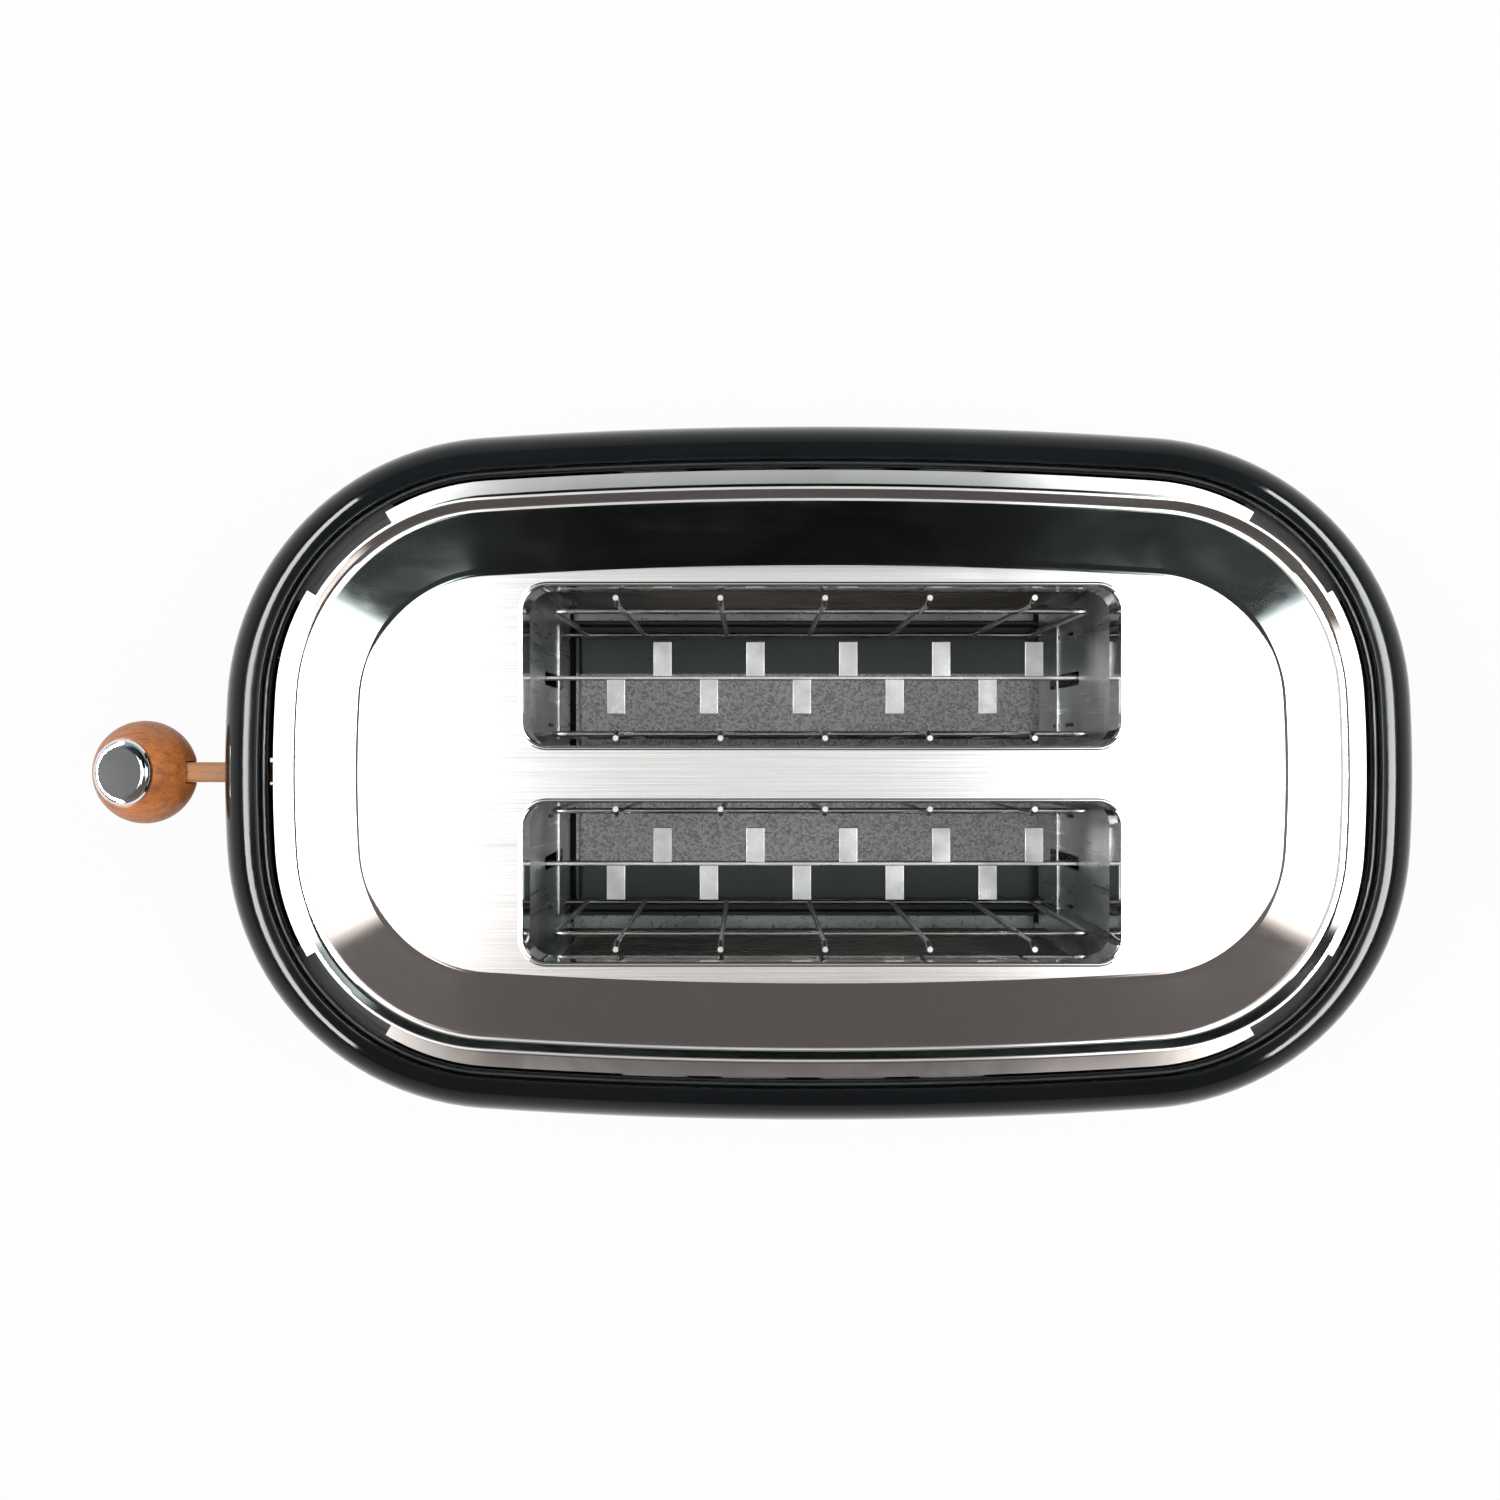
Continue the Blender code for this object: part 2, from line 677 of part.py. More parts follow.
def turned(name, profile, material, location, rotation=(0, 0, 0), steps=ROUND_STEPS, ring=False,
           parent=TOASTER):
    """A turned piece: (radius, height) points run down its outer side."""
    mesh = bpy.data.meshes.new(name)
    points = [(radius, 0, height) for radius, height in profile]
    edges = [(k, k + 1) for k in range(len(points) - 1)]
    if ring:
        edges.append((len(points) - 1, 0))
    mesh.from_pydata(points, edges, [])
    mesh.materials.append(material)
    thing = bpy.data.objects.new(name, mesh)
    thing.location = location
    thing.rotation_euler = rotation
    thing.parent = parent
    PARTS.objects.link(thing)
    screw = thing.modifiers.new("turn", 'SCREW')
    screw.axis = 'Z'
    screw.steps = steps
    screw.render_steps = steps
    screw.use_merge_vertices = True
    screw.merge_threshold = MERGE_DISTANCE
    return thing


# Finishes
BLACK_ENAMEL = finish("black_enamel", (0.008, 0.009, 0.010), 0.12)
DARK_PLASTIC = finish("dark_plastic", (0.03, 0.03, 0.032), 0.5)
POLISHED_STEEL = finish("polished_steel", (0.72, 0.72, 0.72), 0.12, 1.0)
CHAMBER_STEEL = finish("chamber_steel", (0.52, 0.53, 0.54), 0.35, 1.0)
TRAY_STEEL = finish("tray_steel", (0.45, 0.45, 0.45), 0.5, 1.0)
WIRE_STEEL = finish("wire_steel", (0.65, 0.65, 0.66), 0.25, 1.0)
CHROME = finish("chrome", (0.80, 0.80, 0.82), 0.05, 1.0)
OILED_WOOD = finish("oiled_wood", (0.52, 0.20, 0.07), 0.4)
PALE_WOOD = finish("pale_wood", (0.62, 0.33, 0.15), 0.45)
RUBBER = finish("rubber", (0.02, 0.02, 0.02), 0.8)
MICA = finish("mica", (0.42, 0.38, 0.32), 0.5)
RIBBON = finish("ribbon", (0.30, 0.28, 0.27), 0.4, 1.0)
BOARD_GREEN = finish("board_green", (0.03, 0.14, 0.06), 0.5)
BRASS = finish("brass", (0.75, 0.55, 0.25), 0.3, 1.0)
CERAMIC = finish("ceramic", (0.75, 0.74, 0.70), 0.6)


# Sections that the shell and the control panel share
def shell_sections(depth):
    """The shell's outer skin, or a skin at a depth inside it, up to the rim."""
    outer = inset(SHELL_OVAL, depth)
    pairs = []
    for k in range(TAPER_STEPS):
        height = SHELL_BOTTOM + (WIDEST_Z - SHELL_BOTTOM) * k / TAPER_STEPS
        pairs.append((inset(outer, taper(height)), height))
    for k in range(SHOULDER_STEPS + 1):
        angle = math.pi / 2 * k / SHOULDER_STEPS
        height = WIDEST_Z + (RIM_TOP - WIDEST_Z) * math.sin(angle)
        pairs.append((between(outer, RIM_OVAL, 1 - math.cos(angle)), height))
    return pairs


def panel_outline(spare):
    """Outline of the control panel across Y and Z, larger by a spare width all round."""
    middle = (PANEL_TOP + PANEL_BOTTOM) / 2
    return rounded_rectangle(PANEL_HALF_WIDTH + spare, (PANEL_TOP - PANEL_BOTTOM) / 2 + spare,
                             PANEL_CORNER_RADIUS + spare, (0, middle))


def through_lever_end(outline):
    """A prism that passes through the lever end of the body."""
    depth = BODY_HALF_LENGTH / 2
    place = Matrix.Translation((-BODY_HALF_LENGTH, 0, 0)) @ FACING_X
    return plate([outline], depth, place)


def corner_sector(oval, angle, outer_run, inner_run, low, high, quadrant):
    """A curved block over the middle of one corner arc of an oval."""
    centre = corner_centre(oval)
    first = (math.pi - 2 * angle) / 4
    outline = arc(centre, oval.corner_radius + outer_run, first, math.pi / 2 - first, NOTCH_STEPS)
    outline += reversed(arc(centre, oval.corner_radius - inner_run, first, math.pi / 2 - first,
                            NOTCH_STEPS))
    sx, sy = quadrant
    outline = [(sx * x, sy * y) for x, y in outline]
    return plate([outline], high - low, Matrix.Translation((0, 0, (low + high) / 2)))


QUADRANTS = ((1, 1), (-1, 1), (-1, -1), (1, -1))


# Outer shell
def make_shell():
    pairs = shell_sections(0)
    pairs.append((inset(RIM_OVAL, LIP_RUN), RIM_TOP - LIP_RUN))
    pairs.append((inset(RIM_OVAL, LIP_RUN), RIM_TOP - LIP_DEPTH))
    shell = piece("outer_shell", loft(ovals(pairs)), BLACK_ENAMEL)
    thicken(shell, SHELL_WALL)
    cut(shell, through_lever_end(panel_outline(0)))
    gland_hole = GLAND_NECK_RADIUS + FIT_GAP
    cut(shell, rod((CHAMBER_HALF_LENGTH, 0, GLAND_Z), (BODY_HALF_LENGTH + CUT_OVERRUN, 0, GLAND_Z),
                   gland_hole, SMALL_ROUND_STEPS))


# Plastic frame under the crown, with its slits, and posts down to the base
def post_places():
    """Where the four posts, screws and feet stand."""
    centre = corner_centre(SHELL_OVAL)
    reach = RIM_OVAL.corner_radius - FRAME_WEB_RUN
    x = centre.x + reach * math.cos(POST_ANGLE)
    y = centre.y + reach * math.sin(POST_ANGLE)
    return [(sx * x, sy * y) for sx, sy in QUADRANTS]


def make_frame():
    web_top = RIM_TOP - LIP_DEPTH - FIT_GAP
    web_bottom = web_top - FRAME_WEB_THICKNESS
    lip_top = RIM_TOP - FRAME_LIP_DROP
    lip_outer = inset(RIM_OVAL, LIP_RUN + FIT_GAP)
    lip_inner = inset(lip_outer, FRAME_LIP_WALL)
    rib_top = FLANGE_TOP - CROWN_SHEET - FIT_GAP
    rib_outer = inset(CROWN_OVAL, FRAME_RIB_INSET)
    inner = inset(RIM_OVAL, FRAME_WEB_RUN)
    pairs = [(inset(RIM_OVAL, -FRAME_UNDER_LIP), web_bottom),
             (inset(RIM_OVAL, -FRAME_UNDER_LIP), web_top),
             (lip_outer, web_top),
             (lip_outer, lip_top),
             (lip_inner, lip_top),
             (lip_inner, web_top),
             (rib_outer, web_top),
             (rib_outer, rib_top),
             (inner, rib_top),
             (inner, web_bottom)]
    frame = piece("top_frame", loft(ovals(pairs), loop=True), DARK_PLASTIC)
    foot = FLOOR_TOP + FIT_GAP
    for x, y in post_places():
        join(frame, rod((x, y, foot), (x, y, web_top - SLIT_MARGIN), POST_RADIUS))
    for x, y in post_places():
        cut(frame, rod((x, y, foot - CUT_OVERRUN), (x, y, foot + POST_HOLE_DEPTH),
                       SCREW_RADIUS + FIT_GAP))
    slit_outer = inset(lip_inner, SLIT_MARGIN)
    slit_inner = inset(rib_outer, -SLIT_MARGIN)
    low = web_bottom - CUT_OVERRUN
    high = web_top + SLIT_MARGIN
    slit = loft(ovals([(slit_outer, low), (slit_outer, high), (slit_inner, high),
                       (slit_inner, low)]), loop=True)
    slit_tool = change(frame, slit, 'DIFFERENCE')
    for quadrant in QUADRANTS:
        bridge = corner_sector(RIM_OVAL, SLIT_BRIDGE_ANGLE, CUT_OVERRUN, FRAME_WEB_RUN,
                               low - CUT_OVERRUN, high + CUT_OVERRUN, quadrant)
        cut(slit_tool, bridge)


# Stainless crown with the brushed plate and the two slots
def crown_sections():
    """Outer face of the crown, from the flange's edge over the ridge to the plate."""
    ridge = RIDGE_TO_FLANGE_EDGE
    groove = ridge + GROOVE_RUN
    band = groove + BAND_WIDTH
    wall_run = ridge - FLANGE_WIDTH
    rise = BODY_HEIGHT - FLANGE_TOP
    steps = [(0, FLANGE_TOP), (FLANGE_WIDTH, FLANGE_TOP)]
    steps += [(FLANGE_WIDTH + wall_run * run, FLANGE_TOP + rise * height)
              for run, height in CROWN_WALL_SHARES]
    steps.append((ridge, BODY_HEIGHT))
    steps += [(ridge + GROOVE_RUN * run, BODY_HEIGHT - GROOVE_DROP * drop)
              for run, drop in CROWN_GROOVE_SHARES]
    steps += [(groove, GROOVE_Z), (band, BAND_TOP), (band + STEP_RUN, PLATE_TOP)]
    return [(inset(CROWN_OVAL, run), height) for run, height in steps]


def slot_outline(spare, side):
    """Outline of one bread slot, larger by a spare width all round."""
    return rounded_rectangle(SLOT_HALF_LENGTH + spare, SLOT_HALF_WIDTH + spare,
                             SLOT_CORNER_RADIUS + spare, (0, side * SLOT_Y))


def make_crown():
    crown = piece("top_panel", loft(ovals(crown_sections()), close_last=True), POLISHED_STEEL)
    thicken(crown, CROWN_SHEET)
    skirt_foot = PLATE_TOP - SLOT_SKIRT_DEPTH
    profile = [(CROWN_SHEET, skirt_foot),
               (CROWN_SHEET, PLATE_UNDER - CROWN_SHEET / 2),
               (SLOT_BEAD_WIDTH, PLATE_TOP - CROWN_SHEET / 2)]
    profile += [(SLOT_BEAD_WIDTH * run, PLATE_TOP + SLOT_BEAD_RISE * height)
                for run, height in SLOT_BEAD_SHARES]
    profile += [(0, PLATE_TOP - SLOT_BEAD_RISE * 2), (0, skirt_foot)]
    for side in (1, -1):
        opening = slot_outline(CROWN_SHEET / 2, side)
        cut(crown, plate([opening], CUT_OVERRUN, Matrix.Translation((0, 0, PLATE_TOP))))
        collar = loft([(slot_outline(spare, side), height) for spare, height in profile], loop=True)
        join(crown, collar)
    for quadrant in QUADRANTS:
        cut(crown, corner_sector(CROWN_OVAL, NOTCH_ANGLE, CUT_OVERRUN, NOTCH_DEPTH,
                                 FLANGE_TOP - CUT_OVERRUN, FLANGE_TOP + CUT_OVERRUN, quadrant))


# Base pan with vents, tray opening, rod boss and board clips
TRAY_BOTTOM = FLOOR_TOP + FIT_GAP
TRAY_FRONT_HALF_WIDTH = TRAY_HALF_WIDTH + TRAY_FRONT_SIDE_REACH
TRAY_FRONT_TOP = TRAY_BOTTOM + TRAY_FRONT_HEIGHT


def make_base():
    pairs = [(inset(BASE_OVAL, BASE_CHAMFER), FOOT_HEIGHT),
             (BASE_OVAL, FOOT_HEIGHT + BASE_CHAMFER),
             (BASE_OVAL, BASE_TOP)]
    base = piece("base_plate", loft(ovals(pairs), close_first=True), DARK_PLASTIC)
    thicken(base, BASE_WALL)
    half = TRAY_FRONT_HALF_WIDTH + RUNNING_GAP
    cut(base, box((CHAMBER_HALF_LENGTH, -half, FLOOR_TOP + FIT_GAP / 2),
                  (BODY_HALF_LENGTH, half, TRAY_FRONT_TOP + RUNNING_GAP)))
    vent_y = BASE_OVAL.half_width - VENT_EDGE_INSET
    for k in range(VENT_COUNT):
        x = VENT_PITCH * (k - (VENT_COUNT - 1) / 2)
        for y in (vent_y, -vent_y):
            outline = rounded_rectangle(VENT_LENGTH / 2, VENT_WIDTH / 2, VENT_WIDTH / 4, (x, y),
                                        VENT_CORNER_STEPS)
            cut(base, plate([outline], 2 * BASE_HEIGHT, Matrix.Translation((0, 0, FOOT_HEIGHT))))
    for x, y in post_places():
        cut(base, rod((x, y, 0), (x, y, BASE_TOP), SCREW_RADIUS + FIT_GAP))
    sunk = FLOOR_TOP - BASE_WALL / 2
    boss_top = FLOOR_TOP + ROD_BOSS_HEIGHT
    join(base, rod((ROD_X, 0, sunk), (ROD_X, 0, boss_top), ROD_BOSS_RADIUS, SMALL_ROUND_STEPS))
    cut(base, rod((ROD_X, 0, FLOOR_TOP), (ROD_X, 0, BASE_TOP), ROD_RADIUS + FIT_GAP,
                  SMALL_ROUND_STEPS))
    half = BOARD_CLIP_HALF_WIDTH
    for y in (-BOARD_HALF_WIDTH + half, BOARD_HALF_WIDTH - half):
        for start in (BOARD_FRONT_X - FIT_GAP - BOARD_CLIP_THICKNESS, BOARD_BACK_X + FIT_GAP):
            join(base, box((start, y - half, sunk),
                           (start + BOARD_CLIP_THICKNESS, y + half, FLOOR_TOP + BOARD_CLIP_HEIGHT)))


def make_feet_and_screws():
    foot_top = FOOT_HEIGHT - FIT_GAP
    bore = SCREW_RADIUS + FIT_GAP
    foot_profile = [(FOOT_TOP_RADIUS, foot_top),
                    (FOOT_BOTTOM_RADIUS, 0),
                    (FOOT_BORE_RADIUS, 0),
                    (FOOT_BORE_RADIUS, FOOT_BORE_DEPTH),
                    (bore, FOOT_BORE_DEPTH),
                    (bore, foot_top)]
    head_top = FOOT_BORE_DEPTH - FIT_GAP
    head_bottom = head_top - SCREW_HEAD_HEIGHT
    screw_top = head_top + SCREW_LENGTH
    screw_profile = [(0, screw_top),
                     (SCREW_RADIUS / 2, screw_top),
                     (SCREW_RADIUS, screw_top - SCREW_RADIUS),
                     (SCREW_RADIUS, head_top),
                     (SCREW_HEAD_RADIUS, head_top),
                     (SCREW_HEAD_RADIUS * SCREW_HEAD_FACE_SHARE, head_bottom),
                     (0, head_bottom)]
    names = ("rear_right", "lever_right", "lever_left", "rear_left")
    for name, (x, y) in zip(names, post_places()):
        turned("foot_" + name, foot_profile, RUBBER, (x, y, 0), steps=SMALL_ROUND_STEPS, ring=True)
        turned("base_screw_" + name, screw_profile, WIRE_STEEL, (x, y, 0), steps=HOLE_STEPS)


# Bread chamber: end plates, reflectors, heaters
def make_end_plate(name, side):
    half = REFLECTOR_Y + CHAMBER_SHEET + FIT_GAP
    top = PLATE_UNDER - FIT_GAP
    shoulder = top - END_PLATE_SHOULDER_DROP
    neck = SLOT_Y + SLOT_HALF_WIDTH + PLATE_SIDE_MARGIN / 2
    leg = half - END_PLATE_LEG_WIDTH
    foot = FLOOR_TOP + FIT_GAP
    arch = FLOOR_TOP + CHAMBER_BOTTOM_GAP
    right = [(leg, arch), (leg, foot), (half, foot), (half, shoulder), (neck, shoulder), (neck, top)]
    outline = right + [(-y, z) for y, z in reversed(right)]
    holes = []
    low = RACK_TOP - LEVER_TRAVEL - RACK_STRIP_HEIGHT - RACK_SLOT_SPARE
    high = RACK_TOP + RACK_SLOT_SPARE
    for y in (SLOT_Y, -SLOT_Y):
        first, last = y - RACK_SLOT_WIDTH / 2, y + RACK_SLOT_WIDTH / 2
        holes.append([(first, low), (last, low), (last, high), (first, high)])
    for y in (OUTER_GUARD_Y, INNER_GUARD_Y, -INNER_GUARD_Y, -OUTER_GUARD_Y):
        holes.append(circle((y, GUARD_HINGE_Z), GUARD_WIRE_RADIUS + RUNNING_GAP,
                            PIVOT_HOLE_STEPS))
    x = side * (CHAMBER_HALF_LENGTH + CHAMBER_SHEET / 2)
    mesh = plate([outline] + holes, CHAMBER_SHEET, Matrix.Translation((x, 0, 0)) @ FACING_X)
    piece(name, mesh, CHAMBER_STEEL)


def make_reflector(name, side):
    reach = CHAMBER_HALF_LENGTH - FIT_GAP
    top = PLATE_UNDER - REFLECTOR_TOP_DROP
    near = side * REFLECTOR_Y
    far = side * (REFLECTOR_Y + CHAMBER_SHEET)
    mesh = box((-reach, min(near, far), FLOOR_TOP + FIT_GAP), (reach, max(near, far), top))
    piece(name, mesh, CHAMBER_STEEL)


HEATER_LOW = FLOOR_TOP + HEATER_BOTTOM_LIFT
HEATER_HIGH = PLATE_TOP - HEATER_TOP_DROP
HEATER_MIDDLE = (HEATER_LOW + HEATER_HIGH) / 2
HEATER_REACH = CHAMBER_HALF_LENGTH - FIT_GAP
HEATER_WAIST = HEATER_REACH - HEATER_EAR_LENGTH


def heater_board_mesh():
    """Mica sheet, waisted between its ears so the ribbon can pass round its ends."""
    half = (HEATER_HIGH - HEATER_LOW) / 2
    ear = half - HEATER_EAR_HEIGHT
    right = [(HEATER_REACH, -half), (HEATER_REACH, -ear), (HEATER_WAIST, -ear),
             (HEATER_WAIST, ear), (HEATER_REACH, ear), (HEATER_REACH, half)]
    outline = right + [(-x, z) for x, z in reversed(right)]
    return plate([outline], HEATER_THICKNESS, FACING_Y)


def ribbon_points():
    """One unbroken winding round the board, from its lowest turn to its highest."""
    reach = HEATER_WAIST + FIT_GAP + RIBBON_RADIUS
    stand = HEATER_THICKNESS / 2 + FIT_GAP + RIBBON_RADIUS
    span = HEATER_HIGH - HEATER_LOW - 2 * HEATER_EAR_HEIGHT - 4 * RIBBON_RADIUS
    pitch = span / (RIBBON_TURNS + 1)
    points = []
    for k in range(RIBBON_TURNS):
        z = -span / 2 + pitch * (k + 1 / 2)
        points += [(-reach, -stand, z), (reach, -stand, z),
                   (reach, stand, z + pitch * RIBBON_LEAD_SHARE),
                   (-reach, stand, z + pitch * (1 - RIBBON_LEAD_SHARE))]
    return points


def least_gap(points, radius, step):
    """Least clear distance from a tube to its own other stretches, measured on points."""
    places = []
    for first, second in zip(points, points[1:]):
        first, second = Vector(first), Vector(second)
        count = max(1, round((second - first).length / step))
        places += [first.lerp(second, k / count) for k in range(count)]
    spots = numpy.array([tuple(place) for place in places])
    apart = max(4, round(4 * radius / step))
    least = math.inf
    for k in range(len(spots) - apart):
        least = min(least, float(numpy.linalg.norm(spots[k + apart:] - spots[k], axis=1).min()))
    return least - 2 * radius


def make_heaters():
    ribbon = ribbon_points()
    print("least gap in a heater winding, mm:",
          round(1000 * least_gap(ribbon, RIBBON_RADIUS, RIBBON_RADIUS), 2))
    places = (("front_outer", -OUTER_HEATER_Y), ("front_inner", -INNER_HEATER_Y),
              ("rear_inner", INNER_HEATER_Y), ("rear_outer", OUTER_HEATER_Y))
    board = None
    for name, y in places:
        place = (0, y, HEATER_MIDDLE)
        if board is None:
            board = piece("heater_board_" + name, heater_board_mesh(), MICA)
            board.location = place
            winding = piece("heater_winding_" + name, wire(ribbon, RIBBON_RADIUS), RIBBON)
            winding.location = place
        else:
            copy_of(board, "heater_board_" + name, place)
            copy_of(winding, "heater_winding_" + name, place)


# Bread guards, which hinge on their bottom wires
def guard_mesh(lean):
    """A wire guard about its hinge, with tips that lean towards +Y or -Y."""
    reach = CHAMBER_HALF_LENGTH + CHAMBER_SHEET + GUARD_PIVOT_REACH
    side = SLOT_HALF_LENGTH - GUARD_END_INSET
    top = PLATE_TOP - GUARD_TOP_WIRE_DEPTH - GUARD_HINGE_Z
    tip = PLATE_TOP - GUARD_TIP_DEPTH - GUARD_HINGE_Z
    bend = tip - GUARD_TIP_HEIGHT
    hinge_wire = wire([(-reach, 0, 0), (reach, 0, 0)], GUARD_WIRE_RADIUS)
    corner = GUARD_CORNER_RADIUS
    first, last = GUARD_ROW_OFFSET - side, GUARD_ROW_OFFSET + side
    hoop = [(first, 0, 0)]
    hoop += [(x, 0, z) for x, z in arc((first + corner, top - corner), corner, math.pi,
                                       math.pi / 2, GUARD_CORNER_STEPS)]
    hoop += [(x, 0, z) for x, z in arc((last - corner, top - corner), corner, math.pi / 2,
                                       0, GUARD_CORNER_STEPS)]
    hoop.append((last, 0, 0))
    bars = []
    for k in range(GUARD_BAR_COUNT):
        x = GUARD_BAR_PITCH * (k - (GUARD_BAR_COUNT - 1) / 2) + GUARD_ROW_OFFSET
        y = lean * GUARD_TIP_BEND
        bars.append(wire([(x, 0, 0), (x, 0, bend), (x, y, bend + GUARD_TIP_HEIGHT / 3),
                          (x, y, tip)], GUARD_BAR_RADIUS))
    return joined(hinge_wire, wire(hoop, GUARD_HOOP_RADIUS), *bars)


def make_guards():
    places = (("front_outer", -OUTER_GUARD_Y, -1), ("front_inner", -INNER_GUARD_Y, 1),
              ("rear_inner", INNER_GUARD_Y, -1), ("rear_outer", OUTER_GUARD_Y, 1))
    meshes = {lean: guard_mesh(lean) for lean in (1, -1)}
    for name, y, lean in places:
        guard = piece("bread_guard_" + name, meshes[lean].copy(), WIRE_STEEL)
        guard.location = (0, y, GUARD_HINGE_Z)


# Carriage: racks, bridge, bush, lever and knob, which slide together
BRIDGE_FACE_X = -(END_PLATE_OUTER + BRIDGE_SETBACK)
BRIDGE_BACK_X = BRIDGE_FACE_X - BRIDGE_PLATE
STRIP_BOTTOM = RACK_TOP - RACK_STRIP_HEIGHT
TONGUE_BOTTOM = STRIP_BOTTOM + TONGUE_DROP

CARRIAGE = bpy.data.objects.new("carriage_slide", None)
CARRIAGE.location = (ROD_X, 0, RACK_TOP)
CARRIAGE.parent = TOASTER
PARTS.objects.link(CARRIAGE)
CARRIAGE_PLACE = Vector(CARRIAGE.location)


def on_carriage(name, mesh, material):
    mesh.transform(Matrix.Translation(-CARRIAGE_PLACE))
    return piece(name, mesh, material, parent=CARRIAGE)


def rack_mesh():
    start = BRIDGE_FACE_X + FIT_GAP
    end = END_PLATE_OUTER + RACK_REACH_PAST_PLATE
    thick = RACK_STRIP_THICKNESS / 2
    low = STRIP_BOTTOM
    strip = box((start, -thick, low), (end, thick, RACK_TOP))
    tabs = []
    for k in range(TAB_COUNT):
        x = TAB_PITCH * (k - (TAB_COUNT - 1) / 2) + TAB_ROW_OFFSET
        side = -1 if k % 2 == 0 else 1
        first, last = sorted((-side * thick / 2, side * TAB_LENGTH))
        top = RACK_TOP - TAB_DROP
        tabs.append(box((x - TAB_WIDTH / 2, first, top - TAB_THICKNESS),
                        (x + TAB_WIDTH / 2, last, top)))
    return joined(strip, *tabs)


def make_racks():
    mesh = rack_mesh()
    for name, y in (("bread_rack_front", -SLOT_Y), ("bread_rack_rear", SLOT_Y)):
        moved = mesh.copy()
        moved.transform(Matrix.Translation((0, y, 0)))
        on_carriage(name, moved, CHAMBER_STEEL)


def make_bridge():
    half = SLOT_Y + BRIDGE_SIDE_REACH
    riser_top = LEVER_Z + ARM_HEIGHT / 2 + RISER_SPARE
    upright = box((BRIDGE_BACK_X, -half, STRIP_BOTTOM - (BRIDGE_HEIGHT - RACK_STRIP_HEIGHT) / 2),
                  (BRIDGE_FACE_X, half, RACK_TOP + (BRIDGE_HEIGHT - RACK_STRIP_HEIGHT) / 2))
    tongue = box((RISER_X, -TONGUE_HALF_WIDTH, TONGUE_BOTTOM),
                 (BRIDGE_FACE_X - BRIDGE_PLATE / 2, TONGUE_HALF_WIDTH,
                  TONGUE_BOTTOM + TONGUE_THICKNESS))
    riser_face = RISER_X + RISER_INSET
    riser = box((riser_face, -RISER_HALF_WIDTH, TONGUE_BOTTOM + TONGUE_THICKNESS / 2),
                (riser_face + BRIDGE_PLATE, RISER_HALF_WIDTH, riser_top))
    bridge = on_carriage("carriage_bridge", joined(upright, tongue, riser), CHAMBER_STEEL)
    cut(bridge, rod((ROD_X, 0, TONGUE_BOTTOM - TONGUE_THICKNESS),
                    (ROD_X, 0, TONGUE_BOTTOM + 2 * TONGUE_THICKNESS),
                    BUSH_RADIUS + FIT_GAP, SMALL_ROUND_STEPS))
    bore = ROD_RADIUS + RUNNING_GAP
    flange_top = TONGUE_BOTTOM - FIT_GAP - RACK_TOP
    flange_bottom = flange_top - BUSH_FLANGE_HEIGHT
    bush_profile = [(BUSH_RADIUS, flange_bottom + BUSH_HEIGHT),
                    (BUSH_RADIUS, flange_top),
                    (BUSH_FLANGE_RADIUS, flange_top),
                    (BUSH_FLANGE_RADIUS, flange_bottom),
                    (bore, flange_bottom),
                    (bore, flange_bottom + BUSH_HEIGHT)]
    turned("guide_bush", bush_profile, CERAMIC, (0, 0, 0), steps=SMALL_ROUND_STEPS, ring=True,
           parent=CARRIAGE)
    top = TONGUE_BOTTOM - FIT_GAP
    start = RISER_X + ARMATURE_SETBACK
    block = box((start, -ARMATURE_HALF_WIDTH, top - ARMATURE_HEIGHT),
                (start + ARMATURE_LENGTH, ARMATURE_HALF_WIDTH, top))
    on_carriage("armature", block, CHAMBER_STEEL)


def make_lever():
    arm_start = KNOB_X + math.sqrt(KNOB_RADIUS ** 2 - (ARM_HEIGHT / 2) ** 2) - KNOB_POCKET_DEPTH
    half_width, half_height = ARM_WIDTH / 2, ARM_HEIGHT / 2
    arm = box((arm_start + FIT_GAP, -half_width, LEVER_Z - half_height),
              (RISER_X + RISER_INSET - FIT_GAP, half_width, LEVER_Z + half_height))
    arm = on_carriage("lever_arm", arm, PALE_WOOD)
    edge = arm.modifiers.new("edge", 'BEVEL')
    edge.width = ARM_WIDTH / 8
    edge.segments = 1
    ball = bmesh.new()
    bmesh.ops.create_uvsphere(ball, u_segments=ROUND_STEPS, v_segments=ROUND_STEPS // 2,
                              radius=KNOB_RADIUS, matrix=Matrix.Translation((KNOB_X, 0, LEVER_Z)))
    mesh = bpy.data.meshes.new("lever_knob")
    ball.to_mesh(mesh)
    ball.free()
    knob = on_carriage("lever_knob", settled(mesh), OILED_WOOD)
    spare = FIT_GAP
    cut(knob, box((arm_start, -half_width - spare, LEVER_Z - half_height - spare),
                  (KNOB_X + KNOB_RADIUS, half_width + spare, LEVER_Z + half_height + spare)))
    way = Vector((-math.sin(CAP_TILT), 0, math.cos(CAP_TILT)))
    centre = Vector((KNOB_X, 0, LEVER_Z))
    cut(knob, rod(centre + way * CAP_SEAT, centre + way * 2 * KNOB_RADIUS, KNOB_RADIUS, ROUND_STEPS))
    cap_profile = [(0, CAP_HEIGHT)]
    cap_profile += [(CAP_RADIUS * run, CAP_HEIGHT * height) for run, height in CAP_DOME_SHARES]
    cap_profile += [(CAP_RADIUS, 0), (0, 0)]
    seat = centre + way * (CAP_SEAT + FIT_GAP)
    turned("knob_cap", cap_profile, CHROME, seat - CARRIAGE_PLACE, (0, -CAP_TILT, 0),
           parent=CARRIAGE)


